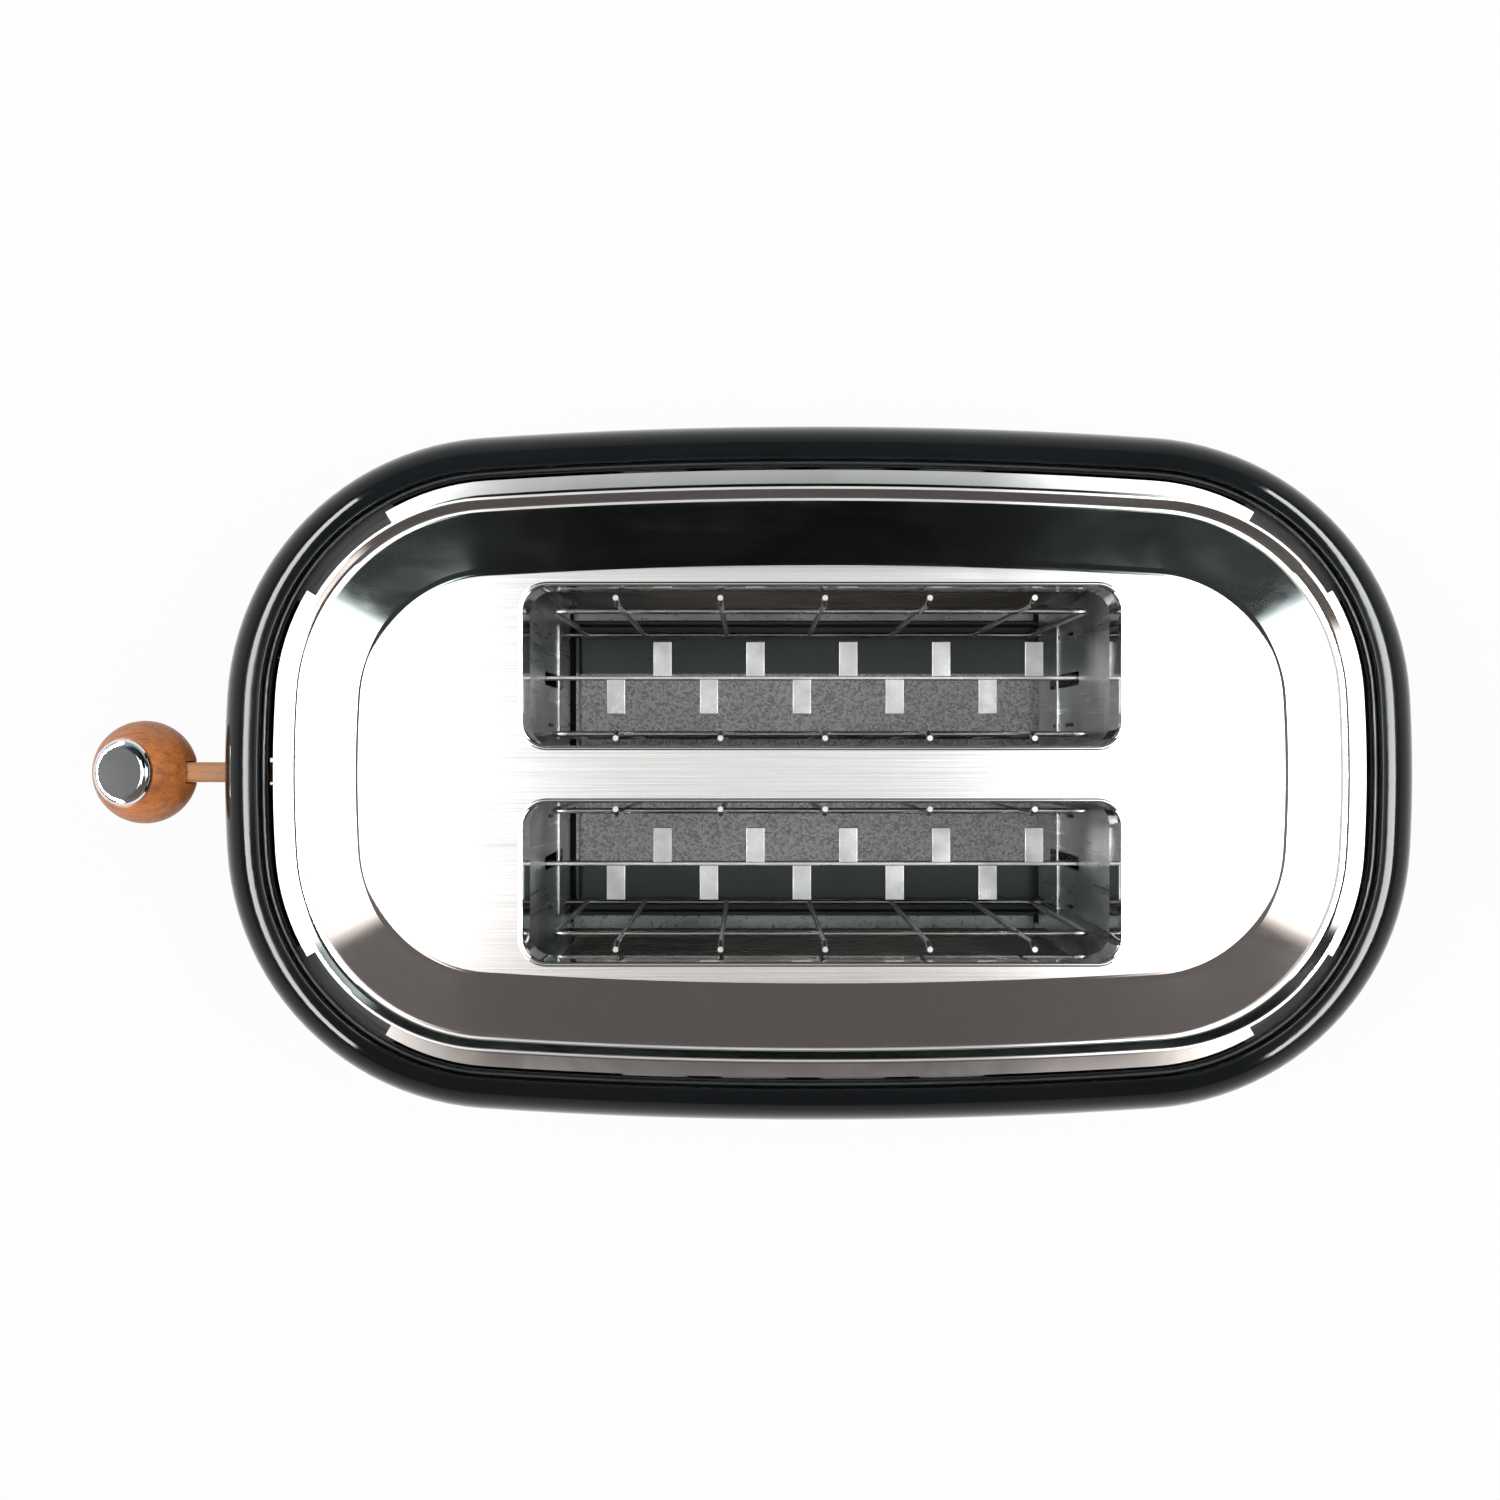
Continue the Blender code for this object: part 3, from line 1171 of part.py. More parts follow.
# Rod, bracket, spring and magnet
BOSS_TOP = FLOOR_TOP + ROD_BOSS_HEIGHT
ROD_TOP = PLATE_TOP - ROD_TOP_DROP
BRACKET_TOP = PLATE_TOP - BRACKET_DROP


def spring_points():
    low = BOSS_TOP + SPRING_WIRE_RADIUS + SPRING_END_GAP
    high = TONGUE_BOTTOM - FIT_GAP - BUSH_FLANGE_HEIGHT - SPRING_WIRE_RADIUS - SPRING_END_GAP
    count = SPRING_TURNS * SPRING_POINTS_PER_TURN
    points = []
    for k in range(count + 1):
        angle = math.tau * k / SPRING_POINTS_PER_TURN
        points.append((ROD_X + SPRING_COIL_RADIUS * math.cos(angle),
                       SPRING_COIL_RADIUS * math.sin(angle), low + (high - low) * k / count))
    return points


def make_lift():
    piece("guide_rod", rod((ROD_X, 0, FLOOR_TOP + FIT_GAP), (ROD_X, 0, ROD_TOP), ROD_RADIUS),
          POLISHED_STEEL)
    back = -END_PLATE_OUTER - FIT_GAP
    half = BRACKET_HALF_WIDTH
    leg = box((back - BRACKET_SHEET, -half, BRACKET_TOP - BRACKET_HEIGHT),
              (back, half, BRACKET_TOP))
    shelf_top = BRACKET_TOP - BRACKET_SHELF_DROP
    shelf = box((ROD_X - BRACKET_REACH, -half, shelf_top - BRACKET_SHEET),
                (back - BRACKET_SHEET / 2, half, shelf_top))
    bracket = piece("rod_bracket", joined(leg, shelf), CHAMBER_STEEL)
    cut(bracket, rod((ROD_X, 0, shelf_top - CUT_OVERRUN), (ROD_X, 0, shelf_top + CUT_OVERRUN),
                     ROD_RADIUS + FIT_GAP, SMALL_ROUND_STEPS))
    points = spring_points()
    print("least gap in the lift spring, mm:",
          round(1000 * least_gap(points, SPRING_WIRE_RADIUS, SPRING_WIRE_RADIUS), 2))
    piece("lift_spring", wire(points, SPRING_WIRE_RADIUS), WIRE_STEEL)
    top = TONGUE_BOTTOM - FIT_GAP - ARMATURE_HEIGHT - LEVER_TRAVEL - MAGNET_AIR_GAP
    end = RISER_X + MAGNET_FRONT_INSET
    core = box((BOARD_BACK_X + FIT_GAP, -MAGNET_HALF_WIDTH, top - MAGNET_HEIGHT),
               (end, MAGNET_HALF_WIDTH, top))
    piece("holding_magnet", core, BRASS)


# Control board, potentiometer, switches, and the panel with its buttons and dial
def make_board():
    top = LEVER_Z - ARM_HEIGHT / 2 - LEVER_TRAVEL - BOARD_TOP_DROP
    board = box((BOARD_FRONT_X, -BOARD_HALF_WIDTH, FLOOR_TOP + FIT_GAP),
                (BOARD_BACK_X, BOARD_HALF_WIDTH, top))
    piece("control_board", board, BOARD_GREEN)
    face = BOARD_FRONT_X - FIT_GAP
    piece("browning_pot", rod((face, 0, DIAL_Z), (face - POT_DEPTH, 0, DIAL_Z), POT_RADIUS,
                              SMALL_ROUND_STEPS), DARK_PLASTIC)
    half = SWITCH_SIDE / 2
    for name, y in zip(("cancel", "reheat", "defrost"), (-BUTTON_SPACING, 0, BUTTON_SPACING)):
        piece("switch_" + name, box((face - SWITCH_DEPTH, y - half, BUTTON_Z - half),
                                    (face, y + half, BUTTON_Z + half)), DARK_PLASTIC)


def make_panel():
    pairs = [pair for pair in shell_sections(PANEL_RECESS) if pair[1] <= WIDEST_Z]
    panel = piece("control_panel", loft(ovals(pairs)), BLACK_ENAMEL)
    thicken(panel, PANEL_WALL)
    keep(panel, through_lever_end(panel_outline(-FIT_GAP)))
    high = LEVER_Z + ARM_HEIGHT / 2 + LEVER_SLOT_SPARE
    half = LEVER_SLOT_WIDTH / 2
    slot = rounded_rectangle(half, (high - LEVER_SLOT_FOOT) / 2, half * LEVER_SLOT_ROUND_SHARE,
                             (0, (LEVER_SLOT_FOOT + high) / 2), LEVER_SLOT_STEPS)
    cut(panel, through_lever_end(slot))
    cut(panel, through_lever_end(circle((0, DIAL_Z), DIAL_SHAFT_RADIUS + RUNNING_GAP)))
    for y in (-BUTTON_SPACING, 0, BUTTON_SPACING):
        cut(panel, through_lever_end(circle((y, BUTTON_Z), BUTTON_RADIUS + RUNNING_GAP,
                                            SMALL_ROUND_STEPS)))


def make_buttons():
    front = BUTTON_PROUD - panel_x(BUTTON_Z)
    stem = -BOARD_FRONT_X + FIT_GAP + SWITCH_DEPTH + BUTTON_TRAVEL + FIT_GAP
    length = front - stem
    wall_back = PANEL_WALL + end_sag(SHELL_OVAL, BUTTON_SPACING + BUTTON_RADIUS)
    slope = taper(BUTTON_Z - BUTTON_FLANGE_RADIUS) - taper(BUTTON_Z)
    flange = length - BUTTON_PROUD - wall_back - slope - FIT_GAP
    profile = [(0, length),
               (BUTTON_RADIUS - BUTTON_EDGE, length),
               (BUTTON_RADIUS, length - BUTTON_EDGE),
               (BUTTON_RADIUS, flange),
               (BUTTON_FLANGE_RADIUS, flange),
               (BUTTON_FLANGE_RADIUS, flange - BUTTON_FLANGE_HEIGHT),
               (BUTTON_STEM_RADIUS, flange - BUTTON_FLANGE_HEIGHT),
               (BUTTON_STEM_RADIUS, 0),
               (0, 0)]
    for name, y in zip(("cancel", "reheat", "defrost"), (-BUTTON_SPACING, 0, BUTTON_SPACING)):
        turned(name + "_button", profile, POLISHED_STEEL, (-stem, y, BUTTON_Z), TOWARDS_LEVER,
               steps=SMALL_ROUND_STEPS)


def make_dial():
    back = -panel_x(DIAL_Z + DIAL_RADIUS) + DIAL_CLEARANCE
    hub = bpy.data.objects.new("dial_axis", None)
    hub.location = (-back, 0, DIAL_Z)
    hub.rotation_euler = TOWARDS_LEVER
    hub.parent = TOASTER
    PARTS.objects.link(hub)
    seat = DIAL_HEIGHT - DIAL_CAP_SEAT_DEPTH
    bore = DIAL_SHAFT_RADIUS + FIT_GAP
    dial = [(0, seat), (DIAL_CAP_RADIUS + FIT_GAP, seat), (DIAL_CAP_RADIUS + FIT_GAP, DIAL_HEIGHT)]
    dial += [(DIAL_RADIUS - DIAL_ROUND * run, DIAL_HEIGHT - DIAL_ROUND * drop)
             for run, drop in DIAL_ROUND_SHARES]
    dial += [(DIAL_RADIUS, DIAL_EDGE),
             (DIAL_RADIUS - DIAL_EDGE, 0),
             (bore, 0),
             (bore, DIAL_BORE_DEPTH),
             (0, DIAL_BORE_DEPTH)]
    turned("browning_dial", dial, OILED_WOOD, (0, 0, 0), parent=hub)
    cap = [(0, DIAL_CAP_HEIGHT)]
    cap += [(DIAL_CAP_RADIUS * run, DIAL_CAP_HEIGHT * height)
            for run, height in DIAL_CAP_DOME_SHARES]
    cap += [(DIAL_CAP_RADIUS, 0), (0, 0)]
    turned("dial_cap", cap, CHROME, (0, 0, seat + FIT_GAP), parent=hub)
    shaft_start = back + BOARD_FRONT_X - FIT_GAP * 2 - POT_DEPTH
    shaft = [(0, DIAL_BORE_DEPTH - FIT_GAP),
             (DIAL_SHAFT_RADIUS, DIAL_BORE_DEPTH - FIT_GAP),
             (DIAL_SHAFT_RADIUS, -shaft_start),
             (0, -shaft_start)]
    turned("dial_shaft", shaft, WIRE_STEEL, (0, 0, 0), steps=HOLE_STEPS, parent=hub)


# Crumb tray, drawn out at the rear end
def make_tray():
    inner = inset(BASE_OVAL, BASE_WALL)
    end = inner.half_length - TRAY_END_GAP - end_sag(inner, TRAY_HALF_WIDTH)
    start = -CHAMBER_HALF_LENGTH + TRAY_START_GAP
    slider = bpy.data.objects.new("tray_slide", None)
    slider.location = (end, 0, TRAY_BOTTOM)
    slider.parent = TOASTER
    PARTS.objects.link(slider)
    place = Vector(slider.location)
    mesh = box((start, -TRAY_HALF_WIDTH, TRAY_BOTTOM), (end, TRAY_HALF_WIDTH, TRAY_BOTTOM + TRAY_HEIGHT))
    work = bmesh.new()
    work.from_mesh(mesh)
    lid = max(work.faces, key=lambda face: face.calc_center_median().z)
    bmesh.ops.delete(work, geom=[lid], context='FACES')
    work.to_mesh(mesh)
    work.free()
    mesh.transform(Matrix.Translation(-place))
    tray = piece("crumb_tray", mesh, TRAY_STEEL, parent=slider)
    thicken(tray, TRAY_SHEET)
    outer = BASE_OVAL
    low = TRAY_BOTTOM
    ring = loft(ovals([(outer, low), (outer, TRAY_FRONT_TOP), (inner, TRAY_FRONT_TOP),
                       (inner, low)]), loop=True)
    ring.transform(Matrix.Translation(-place))
    front = piece("tray_front", ring, DARK_PLASTIC, parent=slider)
    half = TRAY_FRONT_HALF_WIDTH
    keep(front, box((CHAMBER_HALF_LENGTH, -half, 0), (BODY_HALF_LENGTH, half, BODY_HEIGHT)))
    middle = (low + TRAY_FRONT_TOP) / 2
    join(front, box((outer.half_length - BASE_WALL / 2, -TRAY_GRIP_HALF_WIDTH,
                     middle - TRAY_GRIP_HEIGHT / 2),
                    (outer.half_length + TRAY_GRIP_REACH, TRAY_GRIP_HALF_WIDTH,
                     middle + TRAY_GRIP_HEIGHT / 2)))


# Cord gland and terminal block
def make_gland():
    wall = BODY_HALF_LENGTH - taper(GLAND_Z)
    grip = GLAND_GRIP_LENGTH / 2
    profile = [(GLAND_FLANGE_RADIUS * GLAND_FACE_SHARE, grip + GLAND_FLANGE_HEIGHT),
               (GLAND_FLANGE_RADIUS, grip + GLAND_FLANGE_HEIGHT / 2),
               (GLAND_FLANGE_RADIUS, grip),
               (GLAND_NECK_RADIUS, grip),
               (GLAND_NECK_RADIUS, -grip),
               (GLAND_LOCK_RADIUS, -grip),
               (GLAND_LOCK_RADIUS, -grip - GLAND_LOCK_HEIGHT),
               (GLAND_BORE_RADIUS, -grip - GLAND_LOCK_HEIGHT),
               (GLAND_BORE_RADIUS, grip + GLAND_FLANGE_HEIGHT)]
    turned("cord_gland", profile, RUBBER, (wall - SHELL_WALL / 2, 0, GLAND_Z), TOWARDS_REAR,
           steps=SMALL_ROUND_STEPS, ring=True)
    start = END_PLATE_OUTER + FIT_GAP
    low = FLOOR_TOP + TERMINAL_LIFT
    block = box((start, -TERMINAL_HALF_WIDTH, low),
                (start + TERMINAL_DEPTH, TERMINAL_HALF_WIDTH, low + TERMINAL_HEIGHT))
    piece("terminal_block", block, CERAMIC)


make_shell()
make_frame()
make_crown()
make_base()
make_feet_and_screws()
make_end_plate("end_plate_lever", -1)
make_end_plate("end_plate_rear", 1)
make_reflector("reflector_front", -1)
make_reflector("reflector_rear", 1)
make_heaters()
make_guards()
make_racks()
make_bridge()
make_lever()
make_lift()
make_board()
make_panel()
make_buttons()
make_dial()
make_tray()
make_gland()
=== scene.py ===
"""Looks of the two-slot toaster with a ball lever, laid out as a Blender add-on.

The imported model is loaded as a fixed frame, and each operator models one piece, or a group
of like pieces, over it. Units are metres, +Z is up, and the slots run along X.
"""
import math
from collections import namedtuple

import bmesh
import bpy
from bpy.props import FloatProperty, FloatVectorProperty, IntProperty, PointerProperty
from mathutils import Matrix, Vector


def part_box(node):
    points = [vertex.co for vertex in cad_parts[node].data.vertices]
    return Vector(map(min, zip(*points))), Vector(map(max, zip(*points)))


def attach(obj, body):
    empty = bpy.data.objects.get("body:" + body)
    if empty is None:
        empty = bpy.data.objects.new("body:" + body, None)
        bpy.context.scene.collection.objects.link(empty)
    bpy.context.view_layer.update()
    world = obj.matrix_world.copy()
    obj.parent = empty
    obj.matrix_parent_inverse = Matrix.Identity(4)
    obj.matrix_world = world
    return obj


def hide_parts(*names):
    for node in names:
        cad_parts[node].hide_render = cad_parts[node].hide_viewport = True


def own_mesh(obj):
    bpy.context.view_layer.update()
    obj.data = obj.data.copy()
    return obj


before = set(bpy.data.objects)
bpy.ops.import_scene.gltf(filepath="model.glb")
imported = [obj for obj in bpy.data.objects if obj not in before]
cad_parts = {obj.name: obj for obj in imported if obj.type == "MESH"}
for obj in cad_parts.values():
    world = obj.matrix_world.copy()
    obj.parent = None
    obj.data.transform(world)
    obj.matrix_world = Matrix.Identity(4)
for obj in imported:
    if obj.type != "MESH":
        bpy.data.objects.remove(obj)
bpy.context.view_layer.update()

bl_info = {
    "name": "Two-slot toaster",
    "version": (1, 0, 0),
    "blender": (4, 5, 0),
    "location": "3D View > Sidebar > Toaster",
    "description": "Models and finishes the pieces of a two-slot toaster",
    "category": "Object",
}

# Like pieces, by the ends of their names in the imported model
BOARDS = ("front_outer", "front_inner", "rear_inner", "rear_outer")
CORNERS = ("rear_right", "lever_right", "lever_left", "rear_left")
BUTTONS = ("cancel", "reheat", "defrost")
SIDES = (1, -1)

# Sizes and places that several pieces share
CLEARANCE = 0.0003
OVERRUN = 0.004
END_OVERRUN = 0.01
SLOT_Y = 0.025
HINGE_YS = (0.0404, 0.0096, -0.0096, -0.0404)
HINGE_Z = 0.026
HINGE_HOLE = 0.0012
RACK_SLOT = (0.0019, 0.0287, 0.0015)
RACK_SLOT_Z = 0.0753
SLIT = (0.0005, 0.0075, 0.0004)
SLIT_SHIFT = 0.0125
SLIT_ZS = (0.086, 0.060)
CHAMBER_END = 0.0715
# Edge across Y of the painted shade on the crumb tray's floor
PAINTED_SHADE_EDGE = (0.0288, 0.0294)
LEVER_TRAVEL = 0.045


def length(name, text, default):
    """A size in metres."""
    return FloatProperty(name=name, description=text, default=default, min=0.0,
                         unit='LENGTH', precision=5)


def place(name, text, default):
    """A coordinate in metres, which may be negative."""
    return FloatProperty(name=name, description=text, default=default, unit='LENGTH',
                         precision=5)


def colour(name, text, default):
    """A colour in linear light."""
    return FloatVectorProperty(name=name, description=text, default=default,
                               subtype='COLOR', size=3, min=0.0, max=1.0)


class ToasterBodySizes(bpy.types.PropertyGroup):
    """Sizes of the shell, the frame and the base"""
    centre_x: place("Centre", "Middle of the body along X", 0.0189)
    half_length: length("Half length", "Half the length of the shell", 0.1448)
    half_width: length("Half width", "Half the width of the shell", 0.0848)
    top: length("Top", "Height of the crown's ridge", 0.190)
    rim_top: length("Rim height", "Height of the shell's rim", 0.174)
    widest: length("Widest height", "Height at which the shell is widest", 0.152)
    shell_bottom: length("Shell foot", "Height of the shell's lower edge", 0.0203)
    foot_inset: length("Foot inset", "How far the shell draws in towards its foot", 0.007)
    shell_wall: length("Wall", "Thickness of the shell", 0.0012)
    lip_run: length("Lip run", "Width of the rim's turned edge", 0.0006)
    rim_land: length("Rim land", "Width of the level edge inside the shoulder", 0.0003)
    lip_depth: length("Lip depth", "Depth of the rim's inner wall", 0.0055)
    base_bottom: length("Base foot", "Height of the base's underside", 0.006)
    base_top: length("Base top", "Height of the base's upper edge", 0.020)
    base_wall: length("Base wall", "Thickness of the base", 0.0024)


class ToasterCrownSizes(bpy.types.PropertyGroup):
    """Sizes of the steel crown and its bread slots"""
    flange_drop: length("Flange drop", "Flange below the shell's rim", 0.0025)
    flange_width: length("Flange width", "Width of the flat flange", 0.0044)
    ridge_run: length("Ridge run", "From the flange's edge to the ridge", 0.0064)
    groove_run: length("Groove run", "From the ridge to the groove", 0.0026)
    groove_drop: length("Groove drop", "Groove below the ridge", 0.005)
    band_width: length("Band width", "Width of the polished band", 0.0133)
    band_rise: length("Band rise", "Rise of the band towards the plate", 0.0020)
    step_run: length("Step run", "Width of the step up to the plate", 0.0018)
    step_rise: length("Step rise", "Height of the step up to the plate", 0.0006)
    sheet: length("Sheet", "Thickness of the steel", 0.0008)
    slot_half_length: length("Slot half length", "Half the length of a slot", 0.069)
    slot_half_width: length("Slot half width", "Half the width of a slot", 0.0183)
    slot_y: length("Slot place", "Middle of a slot from the middle of the body", SLOT_Y)
    slot_corner: length("Slot corner", "Corner radius of a slot", 0.0055)
    skirt_depth: length("Skirt depth", "Depth of the skirt inside a slot", 0.0165)
    bead_width: length("Bead width", "Width of the bead round a slot", 0.0012)
    bead_rise: length("Bead rise", "Rise of the bead above the plate", 0.0002)
    notch_angle: FloatProperty(name="Notch angle", description="Angle that each notch takes",
                               default=math.radians(28.4), subtype='ANGLE')
    notch_depth: length("Notch depth", "Depth of each notch in the flange", 0.0036)


class ToasterChamberSizes(bpy.types.PropertyGroup):
    """Sizes of the bread chamber, its heaters, guards and racks"""
    half_length: length("Half length", "Half the chamber's inner length", CHAMBER_END)
    shield_foot: length("Shield foot", "Width of a shield's turned foot", 0.0088)
    ribbon_turns: IntProperty(name="Ribbon turns", description="Turns on each heater",
                              default=16, min=9)
    ribbon_half_height: length("Ribbon", "Half the height of the flat ribbon", 0.0009)
    ribbon_sheet: length("Ribbon sheet", "Thickness of the ribbon", 0.00018)
    guard_wire: length("Guard wire", "Radius of a guard's hinge wire", 0.0008)
    guard_bar: length("Guard bar", "Radius of a guard's upright bars", 0.00068)
    guard_pitch: length("Guard pitch", "From one guard bar to the next", 0.0248)
    tab_pitch: length("Tab pitch", "From one rack tab to the next", 0.0125)
    tab_width: length("Tab width", "Width of a rack tab", 0.005)
    tab_length: length("Tab length", "Length of a rack tab", 0.0098)
    tabs: IntProperty(name="Tabs", description="Tabs on each rack", default=10, min=2)


class ToasterControlSizes(bpy.types.PropertyGroup):
    """Sizes of the lever, the buttons and the browning dial"""
    knob_radius: length("Ball", "Radius of the lever's ball", 0.013)
    arm_edge: length("Arm edge", "Rounding of the lever's arm", 0.0009)
    cap_radius: length("Ball cap", "Radius of the cap on the ball", 0.0084)
    cap_seat: length("Cap seat", "From the ball's middle to its cap", 0.0093)
    cap_tilt: FloatProperty(name="Cap tilt", description="Tilt of the cap towards the user",
                            default=math.radians(19.0), subtype='ANGLE')
    panel_half_width: length("Panel half width", "Half the control panel's width", 0.030)
    panel_corner: length("Panel corner", "Corner radius of the control panel", 0.008)
    panel_recess: length("Panel recess", "Panel's face behind the shell's", 0.0006)
    panel_wall: length("Panel wall", "Thickness of the control panel", 0.002)
    slot_half_width: length("Lever slot", "Half the width of the lever's slot", 0.0035)
    button_radius: length("Button", "Radius of a button", 0.0045)
    dial_radius: length("Dial", "Radius of the browning dial", 0.015)


class ToasterFinishes(bpy.types.PropertyGroup):
    """Colours of the finishes"""
    enamel: colour("Enamel", "Black enamel of the shell", (0.006, 0.007, 0.008))
    plastic: colour("Plastic", "Dark plastic of the frame and base", (0.014, 0.015, 0.015))
    steel: colour("Polished steel", "Crown, buttons and guide rod", (0.80, 0.79, 0.78))
    chamber: colour("Chamber steel", "Inner sheet steel", (0.60, 0.62, 0.62))
    zinc: colour("Tray steel", "Galvanised crumb tray", (0.56, 0.55, 0.56))
    wood: colour("Oiled wood", "Ball and dial", (0.50, 0.165, 0.045))
    arm: colour("Pale wood", "Lever arm", (0.50, 0.22, 0.085))
    rubber: colour("Rubber", "Feet and cord gland", (0.018, 0.018, 0.018))
    mica: colour("Mica", "Heater boards", (0.085, 0.082, 0.074))
    floor: colour("Floor", "Pale floor", (0.93, 0.93, 0.93))


class ToasterStageSizes(bpy.types.PropertyGroup):
    """Camera and light"""
    camera_x: place("Camera X", "Camera's place along X", 0.0023)
    camera_y: place("Camera Y", "Camera's place along Y", 0.0056)
    camera_z: place("Camera height", "Camera's height above the floor", 0.7075)
    lens: FloatProperty(name="Lens", description="Focal length", default=54.05, unit='CAMERA')
    floor_size: length("Floor", "Length of the floor's sides", 120.0)
    floor_share: FloatProperty(name="Floor share", description="Share of the floor that glows",
                               default=0.92, min=0.0, max=1.0)
    lamp_size: length("Lamp size", "Length of the overhead lamp's sides", 1.3)
    lamp_height: length("Lamp height", "Overhead lamp's height above the floor", 1.8)
    lamp_power: FloatProperty(name="Lamp", description="Power of the soft overhead lamp",
                              default=10.5, unit='POWER')
    panel_power: FloatProperty(name="Side panels", description="Power of each side panel",
                               default=105.0, unit='POWER')
    panel_width: length("Panel width", "Width of each side panel", 0.26)
    panel_length: length("Panel length", "Length of each side panel", 2.40)
    panel_reach: length("Panel reach", "From the middle to each side panel", 1.0)
    panel_lift: length("Panel lift", "Height of each side panel's middle", 0.545)
    world: FloatProperty(name="World", description="Strength of the studio light",
                         default=1.0, min=0.0)


GROUPS = (("toaster_body", ToasterBodySizes), ("toaster_crown", ToasterCrownSizes),
          ("toaster_chamber", ToasterChamberSizes), ("toaster_controls", ToasterControlSizes),
          ("toaster_finishes", ToasterFinishes), ("toaster_stage", ToasterStageSizes))


# Outlines seen from above, as a maker would draw them with arcs
Oval = namedtuple("Oval", "half_length half_width side_radius end_radius corner_radius")
SIDE_RADIUS = 1.212
END_RADIUS = 0.324
CORNER_RADIUS = 0.0674
RIM_END_INSET = 0.01085
RIM_SIDE_INSET = 0.0094
CROWN_END_INSET = 0.00385
CROWN_SIDE_INSET = 0.0031
SHOULDER_FULLNESS = 1.70
SHOULDER_DROP = 0.0001
END_STEPS = 8
CORNER_STEPS = 24
SIDE_STEPS = 8
SKIN_STEPS = 14
SLOT_STEPS = 12
SAME_POINT = 0.00002
QUADRANTS = ((1, 1), (-1, 1), (-1, -1), (1, -1))


def inset(oval, distance):
    """The parallel oval that lies a distance inside this one."""
    return Oval(*(size - distance for size in oval))


def oval_within(oval, half_length, half_width):
    """An oval of its own length and width, with arcs that run near the outer one's."""
    step = (oval.half_length - half_length + oval.half_width - half_width) / 2
    return Oval(half_length, half_width, oval.side_radius - step,
                oval.end_radius - step, oval.corner_radius - step)


def between(first, second, share):
    """The oval part of the way from one oval to another."""
    return Oval(*(a + (b - a) * share for a, b in zip(first, second)))


def corner_centre(oval):
    """Centre of the corner arc, which touches the side arc and the end arc."""
    side = Vector((0, oval.half_width - oval.side_radius))
    end = Vector((oval.half_length - oval.end_radius, 0))
    apart = end - side
    side_reach = oval.side_radius - oval.corner_radius
    end_reach = oval.end_radius - oval.corner_radius
    along = (side_reach ** 2 - end_reach ** 2 + apart.length_squared) / (2 * apart.length)
    across = math.sqrt(side_reach ** 2 - along ** 2)
    way = apart.normalized()
    return side + way * along + Vector((way.y, -way.x)) * across


def arc(centre, radius, first, last, steps):
    """Points along an arc, both ends included."""
    angles = [first + (last - first) * k / steps for k in range(steps + 1)]
    return [(centre[0] + radius * math.cos(a), centre[1] + radius * math.sin(a)) for a in angles]


def oval_points(oval):
    """Points anticlockwise round an oval, from the middle of its +X end."""
    corner = corner_centre(oval)
    end = (oval.half_length - oval.end_radius, 0)
    side = (0, oval.half_width - oval.side_radius)
    end_angle = math.atan2(corner.y, corner.x - end[0])
    side_angle = math.atan2(corner.y - side[1], corner.x)
    quarter = arc(end, oval.end_radius, 0, end_angle, END_STEPS)[:-1]
    quarter += arc(corner, oval.corner_radius, end_angle, side_angle, CORNER_STEPS)[:-1]
    quarter += arc(side, oval.side_radius, side_angle, math.pi / 2, SIDE_STEPS)
    left = [(-x, y) for x, y in reversed(quarter)]
    opposite = [(-x, -y) for x, y in quarter]
    right = [(x, -y) for x, y in reversed(quarter)]
    return quarter[:-1] + left[:-1] + opposite[:-1] + right[:-1]


def rounded_rectangle(half_x, half_y, radius, centre=(0, 0), steps=8):
    """Points anticlockwise round a rectangle with round corners."""
    points = []
    for turn, (sx, sy) in enumerate(QUADRANTS):
        middle = (centre[0] + sx * (half_x - radius), centre[1] + sy * (half_y - radius))
        start = turn * math.pi / 2
        points += arc(middle, radius, start, start + math.pi / 2, steps)
    return points


def circle(centre, radius, steps=32):
    """Points round a circle."""
    return arc(centre, radius, 0, math.tau, steps)[:-1]


def eased(profile, cut, steps=4):
    """A profile whose corners are bent round, from a cut before each to a cut after it."""
    points = [Vector(point) for point in profile]
    soft = [points[0]]
    for before, corner, after in zip(points, points[1:], points[2:]):
        first = corner.lerp(before, min(0.5, cut / (before - corner).length))
        last = corner.lerp(after, min(0.5, cut / (after - corner).length))
        for k in range(steps + 1):
            t = k / steps
            soft.append(first * (1 - t) ** 2 + corner * 2 * t * (1 - t) + last * t ** 2)
    soft.append(points[-1])
    kept = [soft[0]]
    for point in soft[1:]:
        if (point - kept[-1]).length > SAME_POINT:
            kept.append(point)
    return [tuple(point) for point in kept]


def shell_oval():
    """The shell where it is widest."""
    body = bpy.context.scene.toaster_body
    return Oval(body.half_length, body.half_width, SIDE_RADIUS, END_RADIUS, CORNER_RADIUS)


def rim_oval():
    """The level edge at the top of the shell."""
    outer = shell_oval()
    return oval_within(outer, outer.half_length - RIM_END_INSET,
                       outer.half_width - RIM_SIDE_INSET)


def crown_oval():
    """The outer edge of the crown's flange."""
    rim = rim_oval()
    return oval_within(rim, rim.half_length - CROWN_END_INSET,
                       rim.half_width - CROWN_SIDE_INSET)


def base_oval():
    """The base pan, which stands inside the shell's foot."""
    body = bpy.context.scene.toaster_body
    return inset(shell_oval(), body.foot_inset + body.shell_wall)


def ring(points, height):
    """A level ring of points about the middle of the body."""
    centre = bpy.context.scene.toaster_body.centre_x
    return [(centre + x, y, height) for x, y in points]


def oval_rings(pairs):
    """Level rings from (oval, height) pairs."""
    return [ring(oval_points(oval), height) for oval, height in pairs]


